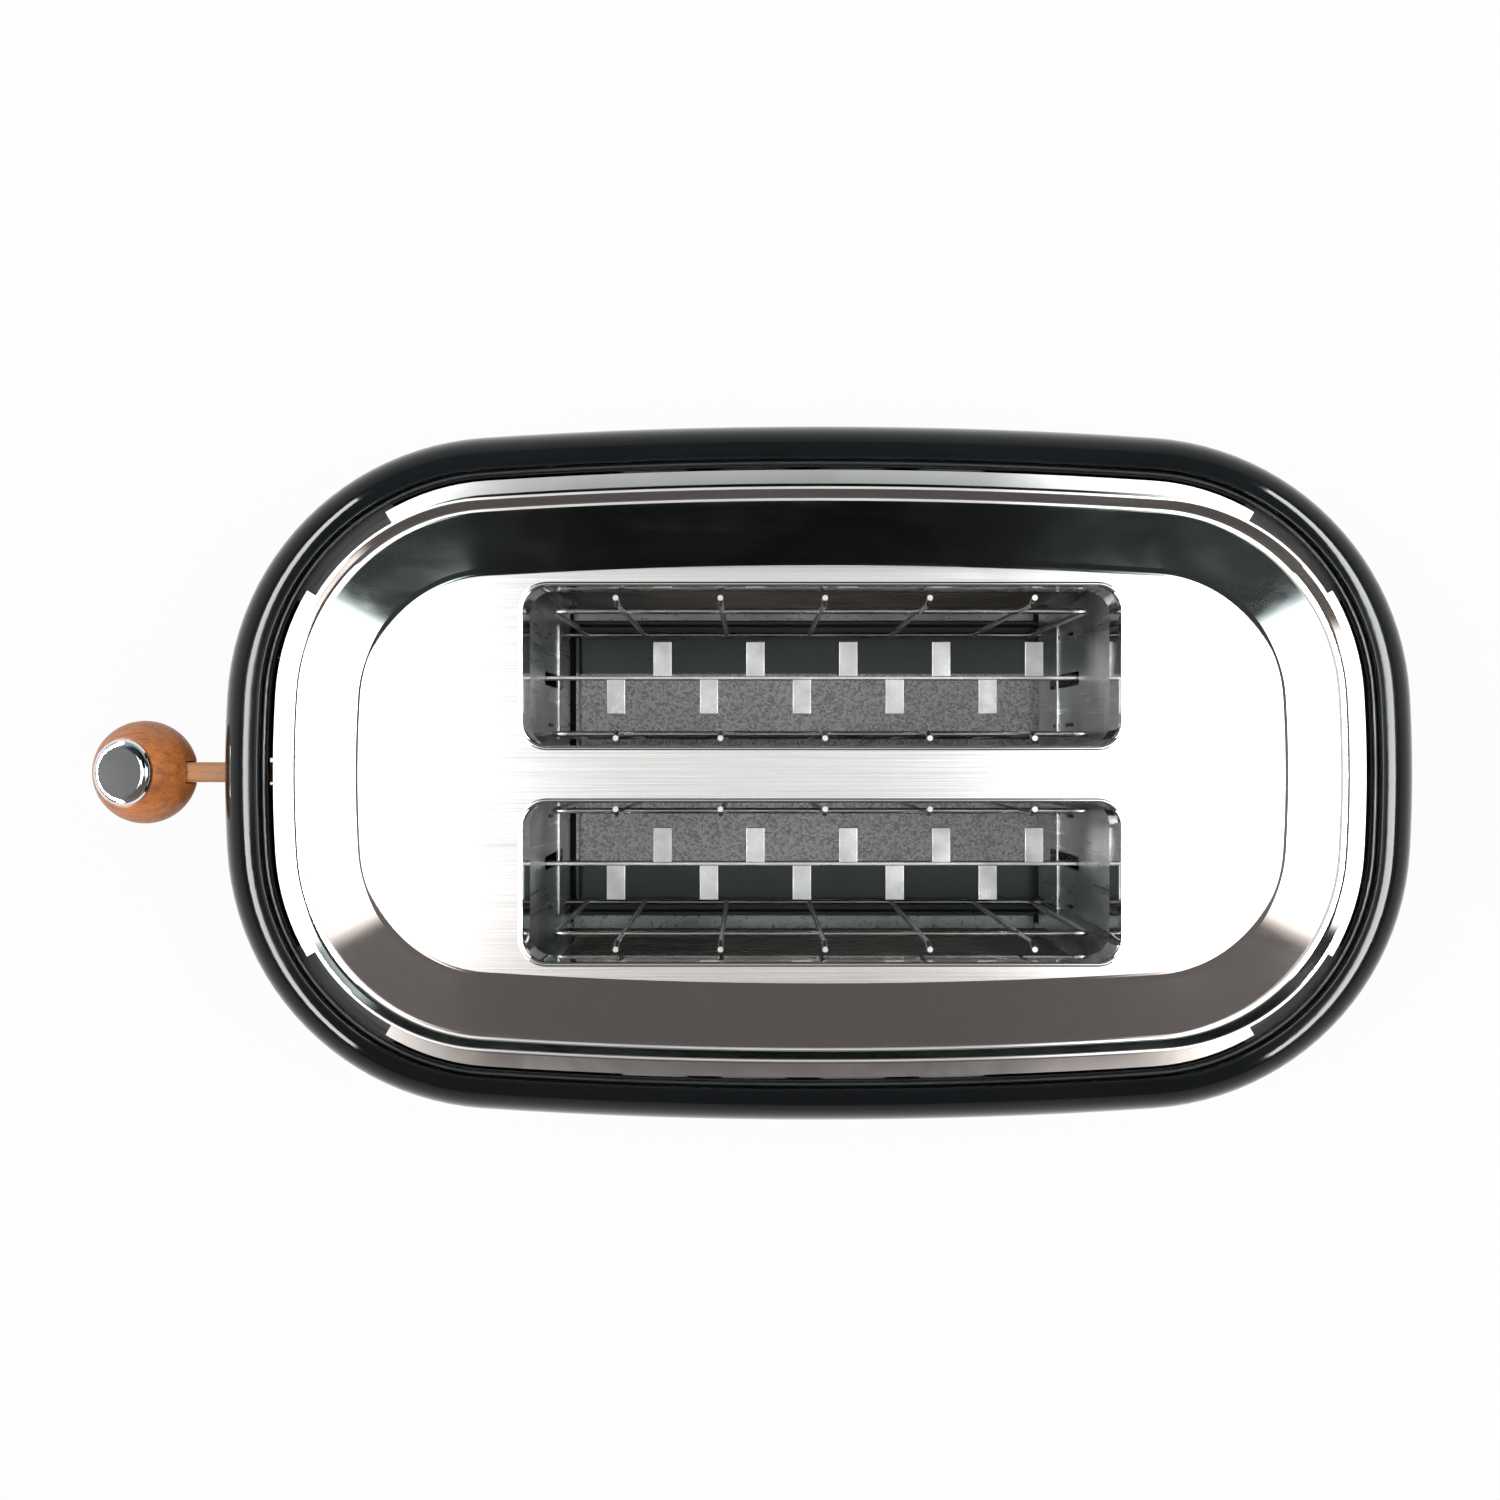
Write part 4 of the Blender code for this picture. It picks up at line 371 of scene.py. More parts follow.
def shell_pairs(depth):
    """The shell's outer skin, or a skin at a depth inside it, as (oval, height) pairs."""
    body = bpy.context.scene.toaster_body
    outer = inset(shell_oval(), depth)
    rim = rim_oval()
    pairs = []
    for k in range(SKIN_STEPS):
        height = body.shell_bottom + (body.widest - body.shell_bottom) * k / SKIN_STEPS
        share = (body.widest - height) / (body.widest - body.shell_bottom)
        pairs.append((inset(outer, body.foot_inset * share ** 2), height))
    shoulder = body.rim_top - body.widest
    run = outer.half_length - rim.half_length
    for k in range(SKIN_STEPS + 1):
        share = k / SKIN_STEPS
        rise = SHOULDER_FULLNESS * share * (1 - share) + share ** 2
        pairs.append((between(outer, rim, share ** 2 * (1 - body.rim_land / run)),
                      body.widest + (shoulder - SHOULDER_DROP) * rise))
    pairs.append((rim, body.rim_top))
    return pairs


# Ways of modelling that start from a primitive and work in edit mode, as by hand
def start():
    """Object mode, with nothing selected."""
    if bpy.context.object and bpy.context.object.mode != 'OBJECT':
        bpy.ops.object.mode_set(mode='OBJECT')
    bpy.ops.object.select_all(action='DESELECT')


def choose(thing, *others):
    """Select pieces, the first of them active."""
    start()
    for one in (thing, *others):
        one.select_set(True)
    bpy.context.view_layer.objects.active = thing


def lay(thing, points, row):
    """Put the selected vertices on a row of points, each on the one with its number."""
    mesh = bmesh.from_edit_mesh(thing.data)
    number = mesh.verts.layers.int["number"]
    rows = mesh.verts.layers.int["row"]
    for vert in mesh.verts:
        if vert.select:
            vert.co = points[vert[number]]
            vert[rows] = row
    bmesh.update_edit_mesh(thing.data)


def pick(thing, test):
    """In edit mode, select only the vertices that pass a test."""
    bpy.ops.mesh.select_all(action='DESELECT')
    mesh = bmesh.from_edit_mesh(thing.data)
    for vert in mesh.verts:
        vert.select = bool(test(vert))
    mesh.select_flush(True)
    bmesh.update_edit_mesh(thing.data)


def settle():
    """Merge doubles, turn the faces outwards and leave edit mode."""
    bpy.ops.mesh.select_all(action='SELECT')
    bpy.ops.mesh.remove_doubles(threshold=0.000002)
    bpy.ops.mesh.normals_make_consistent(inside=False)
    bpy.ops.object.mode_set(mode='OBJECT')


def skin(name, rings, loop=False, close_first=False, close_last=False):
    """A skin drawn out of a circle of edges, from ring to ring."""
    start()
    bpy.ops.mesh.primitive_circle_add(vertices=len(rings[0]), radius=0.05, fill_type='NOTHING')
    thing = bpy.context.object
    thing.name = name
    bpy.ops.object.mode_set(mode='EDIT')
    mesh = bmesh.from_edit_mesh(thing.data)
    number = mesh.verts.layers.int.new("number")
    mesh.verts.layers.int.new("row")
    for k, vert in enumerate(mesh.verts):
        vert[number] = k
    bpy.ops.mesh.select_all(action='SELECT')
    lay(thing, rings[0], 0)
    for row, points in enumerate(rings[1:], 1):
        bpy.ops.mesh.extrude_region()
        lay(thing, points, row)
    if loop:
        bpy.ops.mesh.extrude_region()
        lay(thing, rings[0], len(rings))
    for wanted, row in ((close_first, 0), (close_last, len(rings) - 1)):
        if wanted:
            mesh = bmesh.from_edit_mesh(thing.data)
            rows = mesh.verts.layers.int["row"]
            pick(thing, lambda vert: vert[rows] == row)
            bpy.ops.mesh.edge_face_add()
    settle()
    for layer in ("number", "row"):
        thing.data.attributes.remove(thing.data.attributes[layer])
    return thing


def path(name, points):
    """A single line of edges, drawn out of one vertex."""
    start()
    bpy.ops.mesh.primitive_plane_add(size=0.01)
    thing = bpy.context.object
    thing.name = name
    bpy.ops.object.mode_set(mode='EDIT')
    bpy.ops.mesh.select_all(action='SELECT')
    bpy.ops.mesh.merge(type='CENTER')
    for k, point in enumerate(points):
        if k:
            bpy.ops.mesh.extrude_region()
        mesh = bmesh.from_edit_mesh(thing.data)
        for vert in mesh.verts:
            if vert.select:
                vert.co = point
        bmesh.update_edit_mesh(thing.data)
    return thing


def turned(name, profile, steps, location=(0, 0, 0), tilt=0.0, closed=False):
    """A piece turned about Z from (radius, height) points, tilted about Y and put in place."""
    points = [(radius, 0, height) for radius, height in profile]
    if closed:
        points.append(points[0])
    thing = path(name, points)
    bpy.ops.mesh.select_all(action='SELECT')
    bpy.ops.mesh.spin(steps=steps, angle=math.tau, center=(0, 0, 0), axis=(0, 0, 1))
    settle()
    thing.rotation_euler = (0, tilt, 0)
    thing.location = location
    bpy.ops.object.transform_apply(location=True, rotation=True, scale=True)
    return thing


def wire(name, points, radius, fineness=3):
    """A round wire along a line of points, with closed ends."""
    thing = path(name, points)
    bpy.ops.object.mode_set(mode='OBJECT')
    bpy.ops.object.convert(target='CURVE')
    thing = bpy.context.object
    thing.data.bevel_depth = radius
    thing.data.bevel_resolution = fineness
    thing.data.use_fill_caps = True
    bpy.ops.object.convert(target='MESH')
    thing = bpy.context.object
    thing.name = name
    bpy.ops.object.mode_set(mode='EDIT')
    settle()
    return thing


def block(name, low, high, edge=0.0, segments=2):
    """A block between two corners, its edges rounded with a bevel."""
    low, high = Vector(low), Vector(high)
    start()
    bpy.ops.mesh.primitive_cube_add(size=1, location=(low + high) / 2, scale=high - low)
    thing = bpy.context.object
    thing.name = name
    bpy.ops.object.transform_apply(location=True, rotation=True, scale=True)
    if edge:
        bpy.ops.object.mode_set(mode='EDIT')
        bpy.ops.mesh.select_all(action='SELECT')
        bpy.ops.mesh.bevel(offset=edge, segments=segments, affect='EDGES')
        settle()
    return thing


def apply_all(thing):
    """Apply the piece's modifiers in their order."""
    choose(thing)
    for modifier in list(thing.modifiers):
        bpy.ops.object.modifier_apply(modifier=modifier.name)


def thicken(thing, thickness):
    """Give an open skin its wall, on its inner side."""
    wall = thing.modifiers.new("wall", 'SOLIDIFY')
    wall.thickness = thickness
    wall.offset = -1
    wall.use_even_offset = True
    apply_all(thing)


def carve(thing, *cutters, operation='DIFFERENCE'):
    """Cut a piece with other shapes, which are then thrown away."""
    for cutter in cutters:
        step = thing.modifiers.new("cut", 'BOOLEAN')
        step.operation = operation
        step.solver = 'EXACT'
        step.object = cutter
        apply_all(thing)
        choose(cutter)
        bpy.ops.object.delete()
    choose(thing)
    return thing


def together(thing, *others):
    """Join pieces into one mesh."""
    if others:
        choose(thing, *others)
        bpy.ops.object.join()
    return thing


def copy_of(thing, name, shift=(0, 0, 0), mirror_y=False):
    """A copy with its own mesh, moved and, where asked, mirrored across the slots."""
    choose(thing)
    bpy.ops.object.duplicate()
    twin = bpy.context.object
    twin.name = name
    twin.location = shift
    if mirror_y:
        twin.scale = (1, -1, 1)
    bpy.ops.object.transform_apply(location=True, rotation=True, scale=True)
    if mirror_y:
        bpy.ops.object.mode_set(mode='EDIT')
        settle()
    return twin


def finished(thing, body, slot, *nodes, angle=32.0, finish=None):
    """Shade, finish and mount a piece, and hide the CAD nodes it stands for."""
    choose(thing)
    bpy.ops.object.shade_smooth_by_angle(angle=math.radians(angle))
    crisp = thing.modifiers.new("crisp", 'WEIGHTED_NORMAL')
    crisp.keep_sharp = True
    apply_all(thing)
    thing.data.materials.clear()
    thing.data.materials.append(finish or finish_for(slot))
    thing.data.name = thing.name
    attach(thing, body)
    if nodes:
        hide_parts(*nodes)
    return thing


def prism_up(name, points, low, high):
    """A solid that stands on a level outline about the middle of the body."""
    return skin(name, [ring(points, low), ring(points, high)], close_first=True, close_last=True)


def prism_along(name, points, first, last):
    """A solid whose outline across Y and Z runs along X."""
    rings = [[(x, y, z) for y, z in points] for x in (first, last)]
    return skin(name, rings, close_first=True, close_last=True)


def sector(name, oval, angle, outer_run, inner_run, low, high, quadrant):
    """A curved block over the middle of one corner arc of an oval."""
    centre = corner_centre(oval)
    first = (math.pi - 2 * angle) / 4
    points = arc(centre, oval.corner_radius + outer_run, first, math.pi / 2 - first, 16)
    points += reversed(arc(centre, oval.corner_radius - inner_run, first,
                           math.pi / 2 - first, 16))
    sx, sy = quadrant
    return prism_up(name, [(sx * x, sy * y) for x, y in points], low, high)


# Finishes, each built once from nodes that read Object coordinates
MADE = {}


def add(tree, kind, sockets=None, **settings):
    """Add a shader node, set it up and fill its sockets with numbers or links."""
    made = tree.nodes.new("ShaderNode" + kind)
    for name, value in settings.items():
        setattr(made, name, value)
    for socket, value in (sockets or {}).items():
        if isinstance(value, bpy.types.NodeSocket):
            tree.links.new(value, made.inputs[socket])
        else:
            made.inputs[socket].default_value = value
    return made


def plain(name, tint, roughness, metallic=0.0, ior=1.45):
    """A material with its uniform numbers set on the shader."""
    material = bpy.data.materials.new(name)
    material.use_nodes = True
    tree = material.node_tree
    shader = tree.nodes["Principled BSDF"]
    shader.inputs["Base Color"].default_value = (*tint, 1)
    shader.inputs["Roughness"].default_value = roughness
    shader.inputs["Metallic"].default_value = metallic
    shader.inputs["IOR"].default_value = ior
    return material, tree, shader


def spot(tree, scale=(1, 1, 1), shift=(0, 0, 0), turn=(0, 0, 0)):
    """Object coordinates, stretched, shifted and turned."""
    coordinates = add(tree, "TexCoord").outputs["Object"]
    return add(tree, "Mapping", {"Vector": coordinates, "Scale": scale, "Location": shift,
                                 "Rotation": turn}).outputs["Vector"]


def noise(tree, vector, scale, detail=3.0, roughness=0.5, distortion=0.0):
    """A cloudy value over a vector."""
    return add(tree, "TexNoise", {"Vector": vector, "Scale": scale, "Detail": detail,
                                  "Roughness": roughness,
                                  "Distortion": distortion}).outputs["Fac"]


def span(tree, value, low, high, to_low, to_high, kind='LINEAR'):
    """A value carried from one range to another."""
    return add(tree, "MapRange", {"Value": value, "From Min": low, "From Max": high,
                                  "To Min": to_low, "To Max": to_high},
               interpolation_type=kind).outputs["Result"]


def smooth(tree, value, low, high, to_low=0.0, to_high=1.0):
    """A value carried from one range to another with soft ends."""
    return span(tree, value, low, high, to_low, to_high, 'SMOOTHSTEP')


def sum_of(tree, first, second, operation='ADD'):
    """The sum of two values, or another operation on them."""
    return add(tree, "Math", {0: first, 1: second}, operation=operation).outputs[0]


def product_of(tree, first, second):
    """The product of two values."""
    return sum_of(tree, first, second, 'MULTIPLY')


def size_of(tree, value):
    """A value without its sign."""
    return add(tree, "Math", {0: value}, operation='ABSOLUTE').outputs[0]


def tints(tree, factor, *stops):
    """Colours along a ramp, from (place, colour) stops."""
    ramp = add(tree, "ValToRGB", {"Fac": factor})
    while len(ramp.color_ramp.elements) < len(stops):
        ramp.color_ramp.elements.new(0.5)
    for element, (where, tint) in zip(ramp.color_ramp.elements, stops):
        element.position = where
        element.color = (*tint, 1)
    return ramp.outputs["Color"]


def link(tree, output, shader, socket):
    """Lead an output to a shader's socket."""
    tree.links.new(output, shader.inputs[socket])


def relief(tree, shader, height, strength, distance):
    """Bump from a height, on the shader's normal."""
    bump = add(tree, "Bump", {"Height": height, "Strength": strength, "Distance": distance})
    link(tree, bump.outputs["Normal"], shader, "Normal")


def paint(tree, shader, factor, *stops):
    """Colour a shader along a ramp, from (place, colour) stops."""
    link(tree, tints(tree, factor, *stops), shader, "Base Color")


def dull(tree, shader, value, low, high, to_low, to_high):
    """Carry a value's range to the roughness of a shader."""
    link(tree, span(tree, value, low, high, to_low, to_high), shader, "Roughness")


def times(tint, factor):
    """A colour made lighter or darker."""
    return tuple(min(1.0, part * factor) for part in tint)


def black_enamel(finishes):
    """Gloss black enamel with faint wipe marks."""
    material, tree, shader = plain("gloss_black_enamel", finishes.enamel, 0.09, ior=1.20)
    wipe = noise(tree, spot(tree), 28.0, 4.0)
    dull(tree, shader, wipe, 0.3, 0.7, 0.06, 0.13)
    paint(tree, shader, wipe, (0.3, finishes.enamel), (0.8, times(finishes.enamel, 1.5)))
    relief(tree, shader, noise(tree, spot(tree), 420.0, 1.0), 0.05, 0.0002)
    return material


def dark_plastic(finishes):
    """Dark moulded plastic with a fine grain."""
    material, tree, shader = plain("grained_dark_plastic", finishes.plastic, 0.42)
    grain = noise(tree, spot(tree), 2600.0, 2.0)
    dull(tree, shader, noise(tree, spot(tree), 60.0), 0.3, 0.7, 0.34, 0.50)
    paint(tree, shader, noise(tree, spot(tree), 35.0), (0.35, times(finishes.plastic, 0.8)),
          (0.7, times(finishes.plastic, 1.35)))
    relief(tree, shader, grain, 0.35, 0.00012)
    return material


def polished_steel(finishes):
    """Stainless steel polished to a mirror, slightly wavy and smeared."""
    material, tree, shader = plain("polished_stainless_steel", finishes.steel, 0.06, 1.0)
    smear = noise(tree, spot(tree, (1, 1.6, 1)), 32.0, 5.0, 0.6, 1.2)
    dull(tree, shader, smear, 0.35, 0.75, 0.035, 0.12)
    paint(tree, shader, smear, (0.3, times(finishes.steel, 1.05)),
          (0.8, times(finishes.steel, 0.88)))
    relief(tree, shader, noise(tree, spot(tree), 14.0, 2.0), 0.10, 0.0010)
    return material


def brushed_steel(finishes):
    """Stainless steel brushed along X, with soft smudges."""
    material, tree, shader = plain("brushed_stainless_steel", finishes.steel, 0.24, 1.0)
    long_grain = noise(tree, spot(tree, (7, 2600, 900)), 1.0, 4.0, 0.6)
    fine_grain = noise(tree, spot(tree, (30, 6500, 3000)), 1.0, 2.0, 0.6)
    both = sum_of(tree, long_grain, fine_grain)
    smudge = noise(tree, spot(tree, (0.7, 1, 1)), 34.0, 3.0, 0.5)
    dull(tree, shader, both, 0.7, 1.3, 0.11, 0.19)
    tone = sum_of(tree, span(tree, both, 0.7, 1.3, 0.25, 1.0),
                  smooth(tree, smudge, 0.56, 0.74, 0.0, -0.6))
    paint(tree, shader, tone, (0.0, times(finishes.steel, 0.84)),
          (1.0, times(finishes.steel, 1.08)))
    relief(tree, shader, both, 0.06, 0.00005)
    return material


def chamber_steel(finishes):
    """Satin sheet steel, clouded by heat."""
    material, tree, shader = plain("satin_sheet_steel", finishes.chamber, 0.34, 1.0)
    cloud = noise(tree, spot(tree), 42.0, 4.0)
    grain = noise(tree, spot(tree, (700, 700, 14)), 1.0, 3.0)
    paint(tree, shader, cloud, (0.3, times(finishes.chamber, 0.7)),
          (0.75, times(finishes.chamber, 1.25)))
    dull(tree, shader, grain, 0.3, 0.7, 0.24, 0.40)
    relief(tree, shader, grain, 0.25, 0.00006)
    return material


def tray_steel(finishes):
    """Galvanised sheet with its spangle; beyond the tab line its colour is a painted shade, dark,
    and the sheet there is smoother.
    """
    material, tree, shader = plain("galvanised_sheet", finishes.zinc, 0.42, 0.45)
    spangle = add(tree, "TexVoronoi", {"Vector": spot(tree), "Scale": 1500.0})
    flake = add(tree, "SeparateColor", {"Color": spangle.outputs["Color"]}).outputs["Red"]
    dust = noise(tree, spot(tree), 2200.0, 3.0, 0.7)
    level = sum_of(tree, product_of(tree, flake, 0.55), dust)
    axes = add(tree, "SeparateXYZ", {"Vector": spot(tree)})
    across = size_of(tree, axes.outputs["Y"])
    # painted shade: past the tab line the sheet is coloured dark as a painted shadow, and its
    # roughness drops
    painted_shade_band = smooth(tree, across, *PAINTED_SHADE_EDGE)
    rough = tints(tree, level, (0.35, times(finishes.zinc, 0.45)),
                  (0.62, times(finishes.zinc, 0.95)), (0.95, times(finishes.zinc, 1.5)))
    # the dark colour here is the painted shade
    mix = add(tree, "Mix", {0: painted_shade_band, 6: rough, 7: (0.075, 0.088, 0.088, 1)},
              data_type='RGBA')
    link(tree, mix.outputs[2], shader, "Base Color")
    dull(tree, shader, painted_shade_band, 0.0, 1.0, 0.46, 0.26)
    relief(tree, shader, level, 0.12, 0.00012)
    return material


def rack_steel(finishes):
    """Bright rolled sheet of the bread racks, clouded by heat."""
    material, tree, shader = plain("bright_sheet_steel", (0.58, 0.58, 0.59), 0.3, 1.0)
    cloud = noise(tree, spot(tree), 160.0, 4.0)
    paint(tree, shader, cloud, (0.3, (0.68, 0.68, 0.69)), (0.75, (0.44, 0.44, 0.45)))
    dull(tree, shader, cloud, 0.3, 0.7, 0.24, 0.36)
    relief(tree, shader, cloud, 0.06, 0.0002)
    return material


def wire_steel(finishes):
    """Drawn wire with fine lines along X, tinted by heat."""
    material, tree, shader = plain("drawn_wire", (0.80, 0.80, 0.80), 0.2, 1.0)
    draw = noise(tree, spot(tree, (120, 2400, 2400)), 1.0, 3.0)
    heat = noise(tree, spot(tree), 55.0, 3.0)
    paint(tree, shader, heat, (0.35, (0.84, 0.84, 0.84)), (0.75, (0.62, 0.60, 0.57)))
    dull(tree, shader, draw, 0.3, 0.7, 0.12, 0.24)
    return material


def chrome(finishes):
    """Chrome plate with faint wipe marks."""
    material, tree, shader = plain("chrome_plate", (0.80, 0.80, 0.82), 0.05, 1.0)
    wipe = noise(tree, spot(tree), 160.0, 4.0, 0.6, 0.8)
    dull(tree, shader, wipe, 0.35, 0.75, 0.02, 0.06)
    paint(tree, shader, wipe, (0.3, (0.82, 0.82, 0.84)), (0.85, (0.66, 0.66, 0.67)))
    return material


def timber(name, tint, figure, shift):
    """Wood cut along X: wandering streaks, darker flecks and open pores."""
    material, tree, shader = plain(name, tint, 0.42)
    wander = noise(tree, spot(tree, (14, 70, 70), shift), 1.0, 3.0, 0.5)
    lines = noise(tree, spot(tree, (45, 620, 620), shift), figure, 4.0, 0.55)
    pores = noise(tree, spot(tree, (260, 2600, 2600), shift), 1.0, 2.0, 0.6)
    level = sum_of(tree, product_of(tree, lines, 0.70), product_of(tree, wander, 0.55))
    tone = sum_of(tree, level, span(tree, pores, 0.55, 0.72, 0.0, -0.28))
    paint(tree, shader, tone, (0.30, times(tint, 0.40)), (0.52, times(tint, 0.92)),
          (0.80, times(tint, 1.45)))
    dull(tree, shader, pores, 0.4, 0.7, 0.34, 0.62)
    relief(tree, shader, tone, 0.22, 0.00018)
    return material


def oiled_wood(finishes):
    """Dark oiled wood of the ball and the dial."""
    return timber("oiled_wood", finishes.wood, 1.0, (0.2, 0.7, 0.4))


def pale_wood(finishes):
    """Paler wood of the lever's arm."""
    return timber("pale_wood", finishes.arm, 0.8, (0.9, 0.1, 0.6))


def rubber(finishes):
    """Matt moulded rubber with dust in its grain."""
    material, tree, shader = plain("moulded_rubber", finishes.rubber, 0.78)
    dust = noise(tree, spot(tree), 240.0, 4.0, 0.7)
    paint(tree, shader, dust, (0.4, finishes.rubber), (0.85, times(finishes.rubber, 2.6)))
    dull(tree, shader, dust, 0.3, 0.7, 0.70, 0.88)
    relief(tree, shader, noise(tree, spot(tree), 3000.0, 2.0), 0.4, 0.0001)
    return material


def mica(finishes):
    """Mica board with small flakes."""
    material, tree, shader = plain("mica_board", finishes.mica, 0.42)
    flake = add(tree, "TexVoronoi", {"Vector": spot(tree, (1, 1, 1.6)), "Scale": 240.0})
    level = add(tree, "SeparateColor", {"Color": flake.outputs["Color"]}).outputs["Green"]
    cloud = noise(tree, spot(tree), 70.0, 5.0, 0.6)
    both = sum_of(tree, product_of(tree, level, 0.4), cloud)
    paint(tree, shader, both, (0.3, times(finishes.mica, 0.45)), (0.6, finishes.mica),
          (0.95, times(finishes.mica, 1.7)))
    dull(tree, shader, level, 0.0, 1.0, 0.30, 0.55)
    relief(tree, shader, both, 0.2, 0.0001)
    return material


def ribbon(finishes):
    """Resistance ribbon with heat colours."""
    material, tree, shader = plain("heat_tinted_ribbon", (0.30, 0.27, 0.25), 0.36, 1.0)
    heat = noise(tree, spot(tree), 38.0, 3.0, 0.6)
    paint(tree, shader, heat, (0.25, (0.11, 0.12, 0.15)), (0.5, (0.22, 0.20, 0.18)),
          (0.8, (0.32, 0.29, 0.25)))
    dull(tree, shader, heat, 0.3, 0.7, 0.28, 0.48)
    return material


def board_green(finishes):
    """Lacquered circuit board with its lanes of copper."""
    material, tree, shader = plain("lacquered_circuit_board", (0.02, 0.12, 0.05), 0.32)
    lanes = add(tree, "TexBrick", {"Vector": spot(tree, (0, 210, 210), (0, 0, 0),
                                                  (0, math.pi / 2, 0)),
                                   "Color1": (0.020, 0.115, 0.045, 1),
                                   "Color2": (0.024, 0.135, 0.055, 1),
                                   "Mortar": (0.045, 0.23, 0.10, 1), "Scale": 1.0,
                                   "Mortar Size": 0.05})
    link(tree, lanes.outputs["Color"], shader, "Base Color")
    relief(tree, shader, lanes.outputs["Fac"], 0.3, 0.0001)
    return material


def brass(finishes):
    """Enamelled wire wound round the magnet's core."""
    material, tree, shader = plain("wound_magnet_wire", (0.62, 0.30, 0.11), 0.34, 1.0)
    turns = add(tree, "TexWave", {"Vector": spot(tree), "Scale": 900.0, "Distortion": 0.6},
                bands_direction='Z').outputs["Fac"]
    paint(tree, shader, turns, (0.1, (0.20, 0.09, 0.03)), (0.6, (0.66, 0.33, 0.13)))
    relief(tree, shader, turns, 0.6, 0.0003)
    return material


def ceramic(finishes):
    """Unglazed ceramic, speckled."""
    material, tree, shader = plain("bisque_ceramic", (0.72, 0.70, 0.64), 0.58)
    speck = noise(tree, spot(tree), 900.0, 4.0, 0.7)
    paint(tree, shader, speck, (0.3, (0.58, 0.56, 0.50)), (0.6, (0.74, 0.72, 0.67)))
    relief(tree, shader, speck, 0.25, 0.0001)
    return material


FINISHES = {make.__name__: make for make in (
    black_enamel, dark_plastic, polished_steel, brushed_steel, chamber_steel, tray_steel,
    rack_steel, wire_steel, chrome, oiled_wood, pale_wood, rubber, mica, ribbon, board_green,
    brass, ceramic)}


def finish_for(slot):
    """The finish of a material slot, built the first time it is asked for."""
    if slot not in MADE:
        MADE[slot] = FINISHES[slot](bpy.context.scene.toaster_finishes)
    return MADE[slot]


# Pieces
def middle_of(node):
    """Middle of a CAD node's box."""
    low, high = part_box(node)
    return (low + high) / 2


def lever_end():
    """Where a cut through the body's lever end starts and stops along X."""
    body = bpy.context.scene.toaster_body
    return (body.centre_x - body.half_length - END_OVERRUN,
            body.centre_x - body.half_length / 2)


class TOASTER_OT_shell(bpy.types.Operator):
    """Model the enamelled shell, with its round shoulder and turned rim"""
    bl_idname = "toaster.shell"
    bl_label = "Outer shell"

    def execute(self, context):
        body = context.scene.toaster_body
        rim = rim_oval()
        pairs = shell_pairs(0)
        edge = body.lip_run
        lip_steps = 4
        gland_hole = 0.006
        inside = body.centre_x + 0.1
        for k in range(1, lip_steps + 1):
            angle = math.pi / 2 * k / lip_steps
            pairs.append((inset(rim, edge * math.sin(angle)),
                          body.rim_top - edge * (1 - math.cos(angle))))
        pairs.append((inset(rim, edge), body.rim_top - body.lip_depth))
        shell = skin("shell_enamel", oval_rings(pairs))
        thicken(shell, body.shell_wall)
        carve(shell, prism_along("cutter", panel_outline(0), *lever_end()))
        gland = middle_of("cord_gland")
        carve(shell, prism_along("cutter", circle((0, gland.z), gland_hole), inside,
                                 body.centre_x + body.half_length + END_OVERRUN))
        finished(shell, "body", "black_enamel", "outer_shell")
        return {'FINISHED'}


def panel_outline(spare):
    """Outline of the control panel across Y and Z, larger by a spare width all round."""
    controls = bpy.context.scene.toaster_controls
    low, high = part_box("control_panel")
    middle = (low.z + high.z) / 2
    half = (high.z - low.z) / 2 + CLEARANCE + spare
    return rounded_rectangle(controls.panel_half_width + spare, half,
                             controls.panel_corner + spare, (0, middle), SLOT_STEPS)


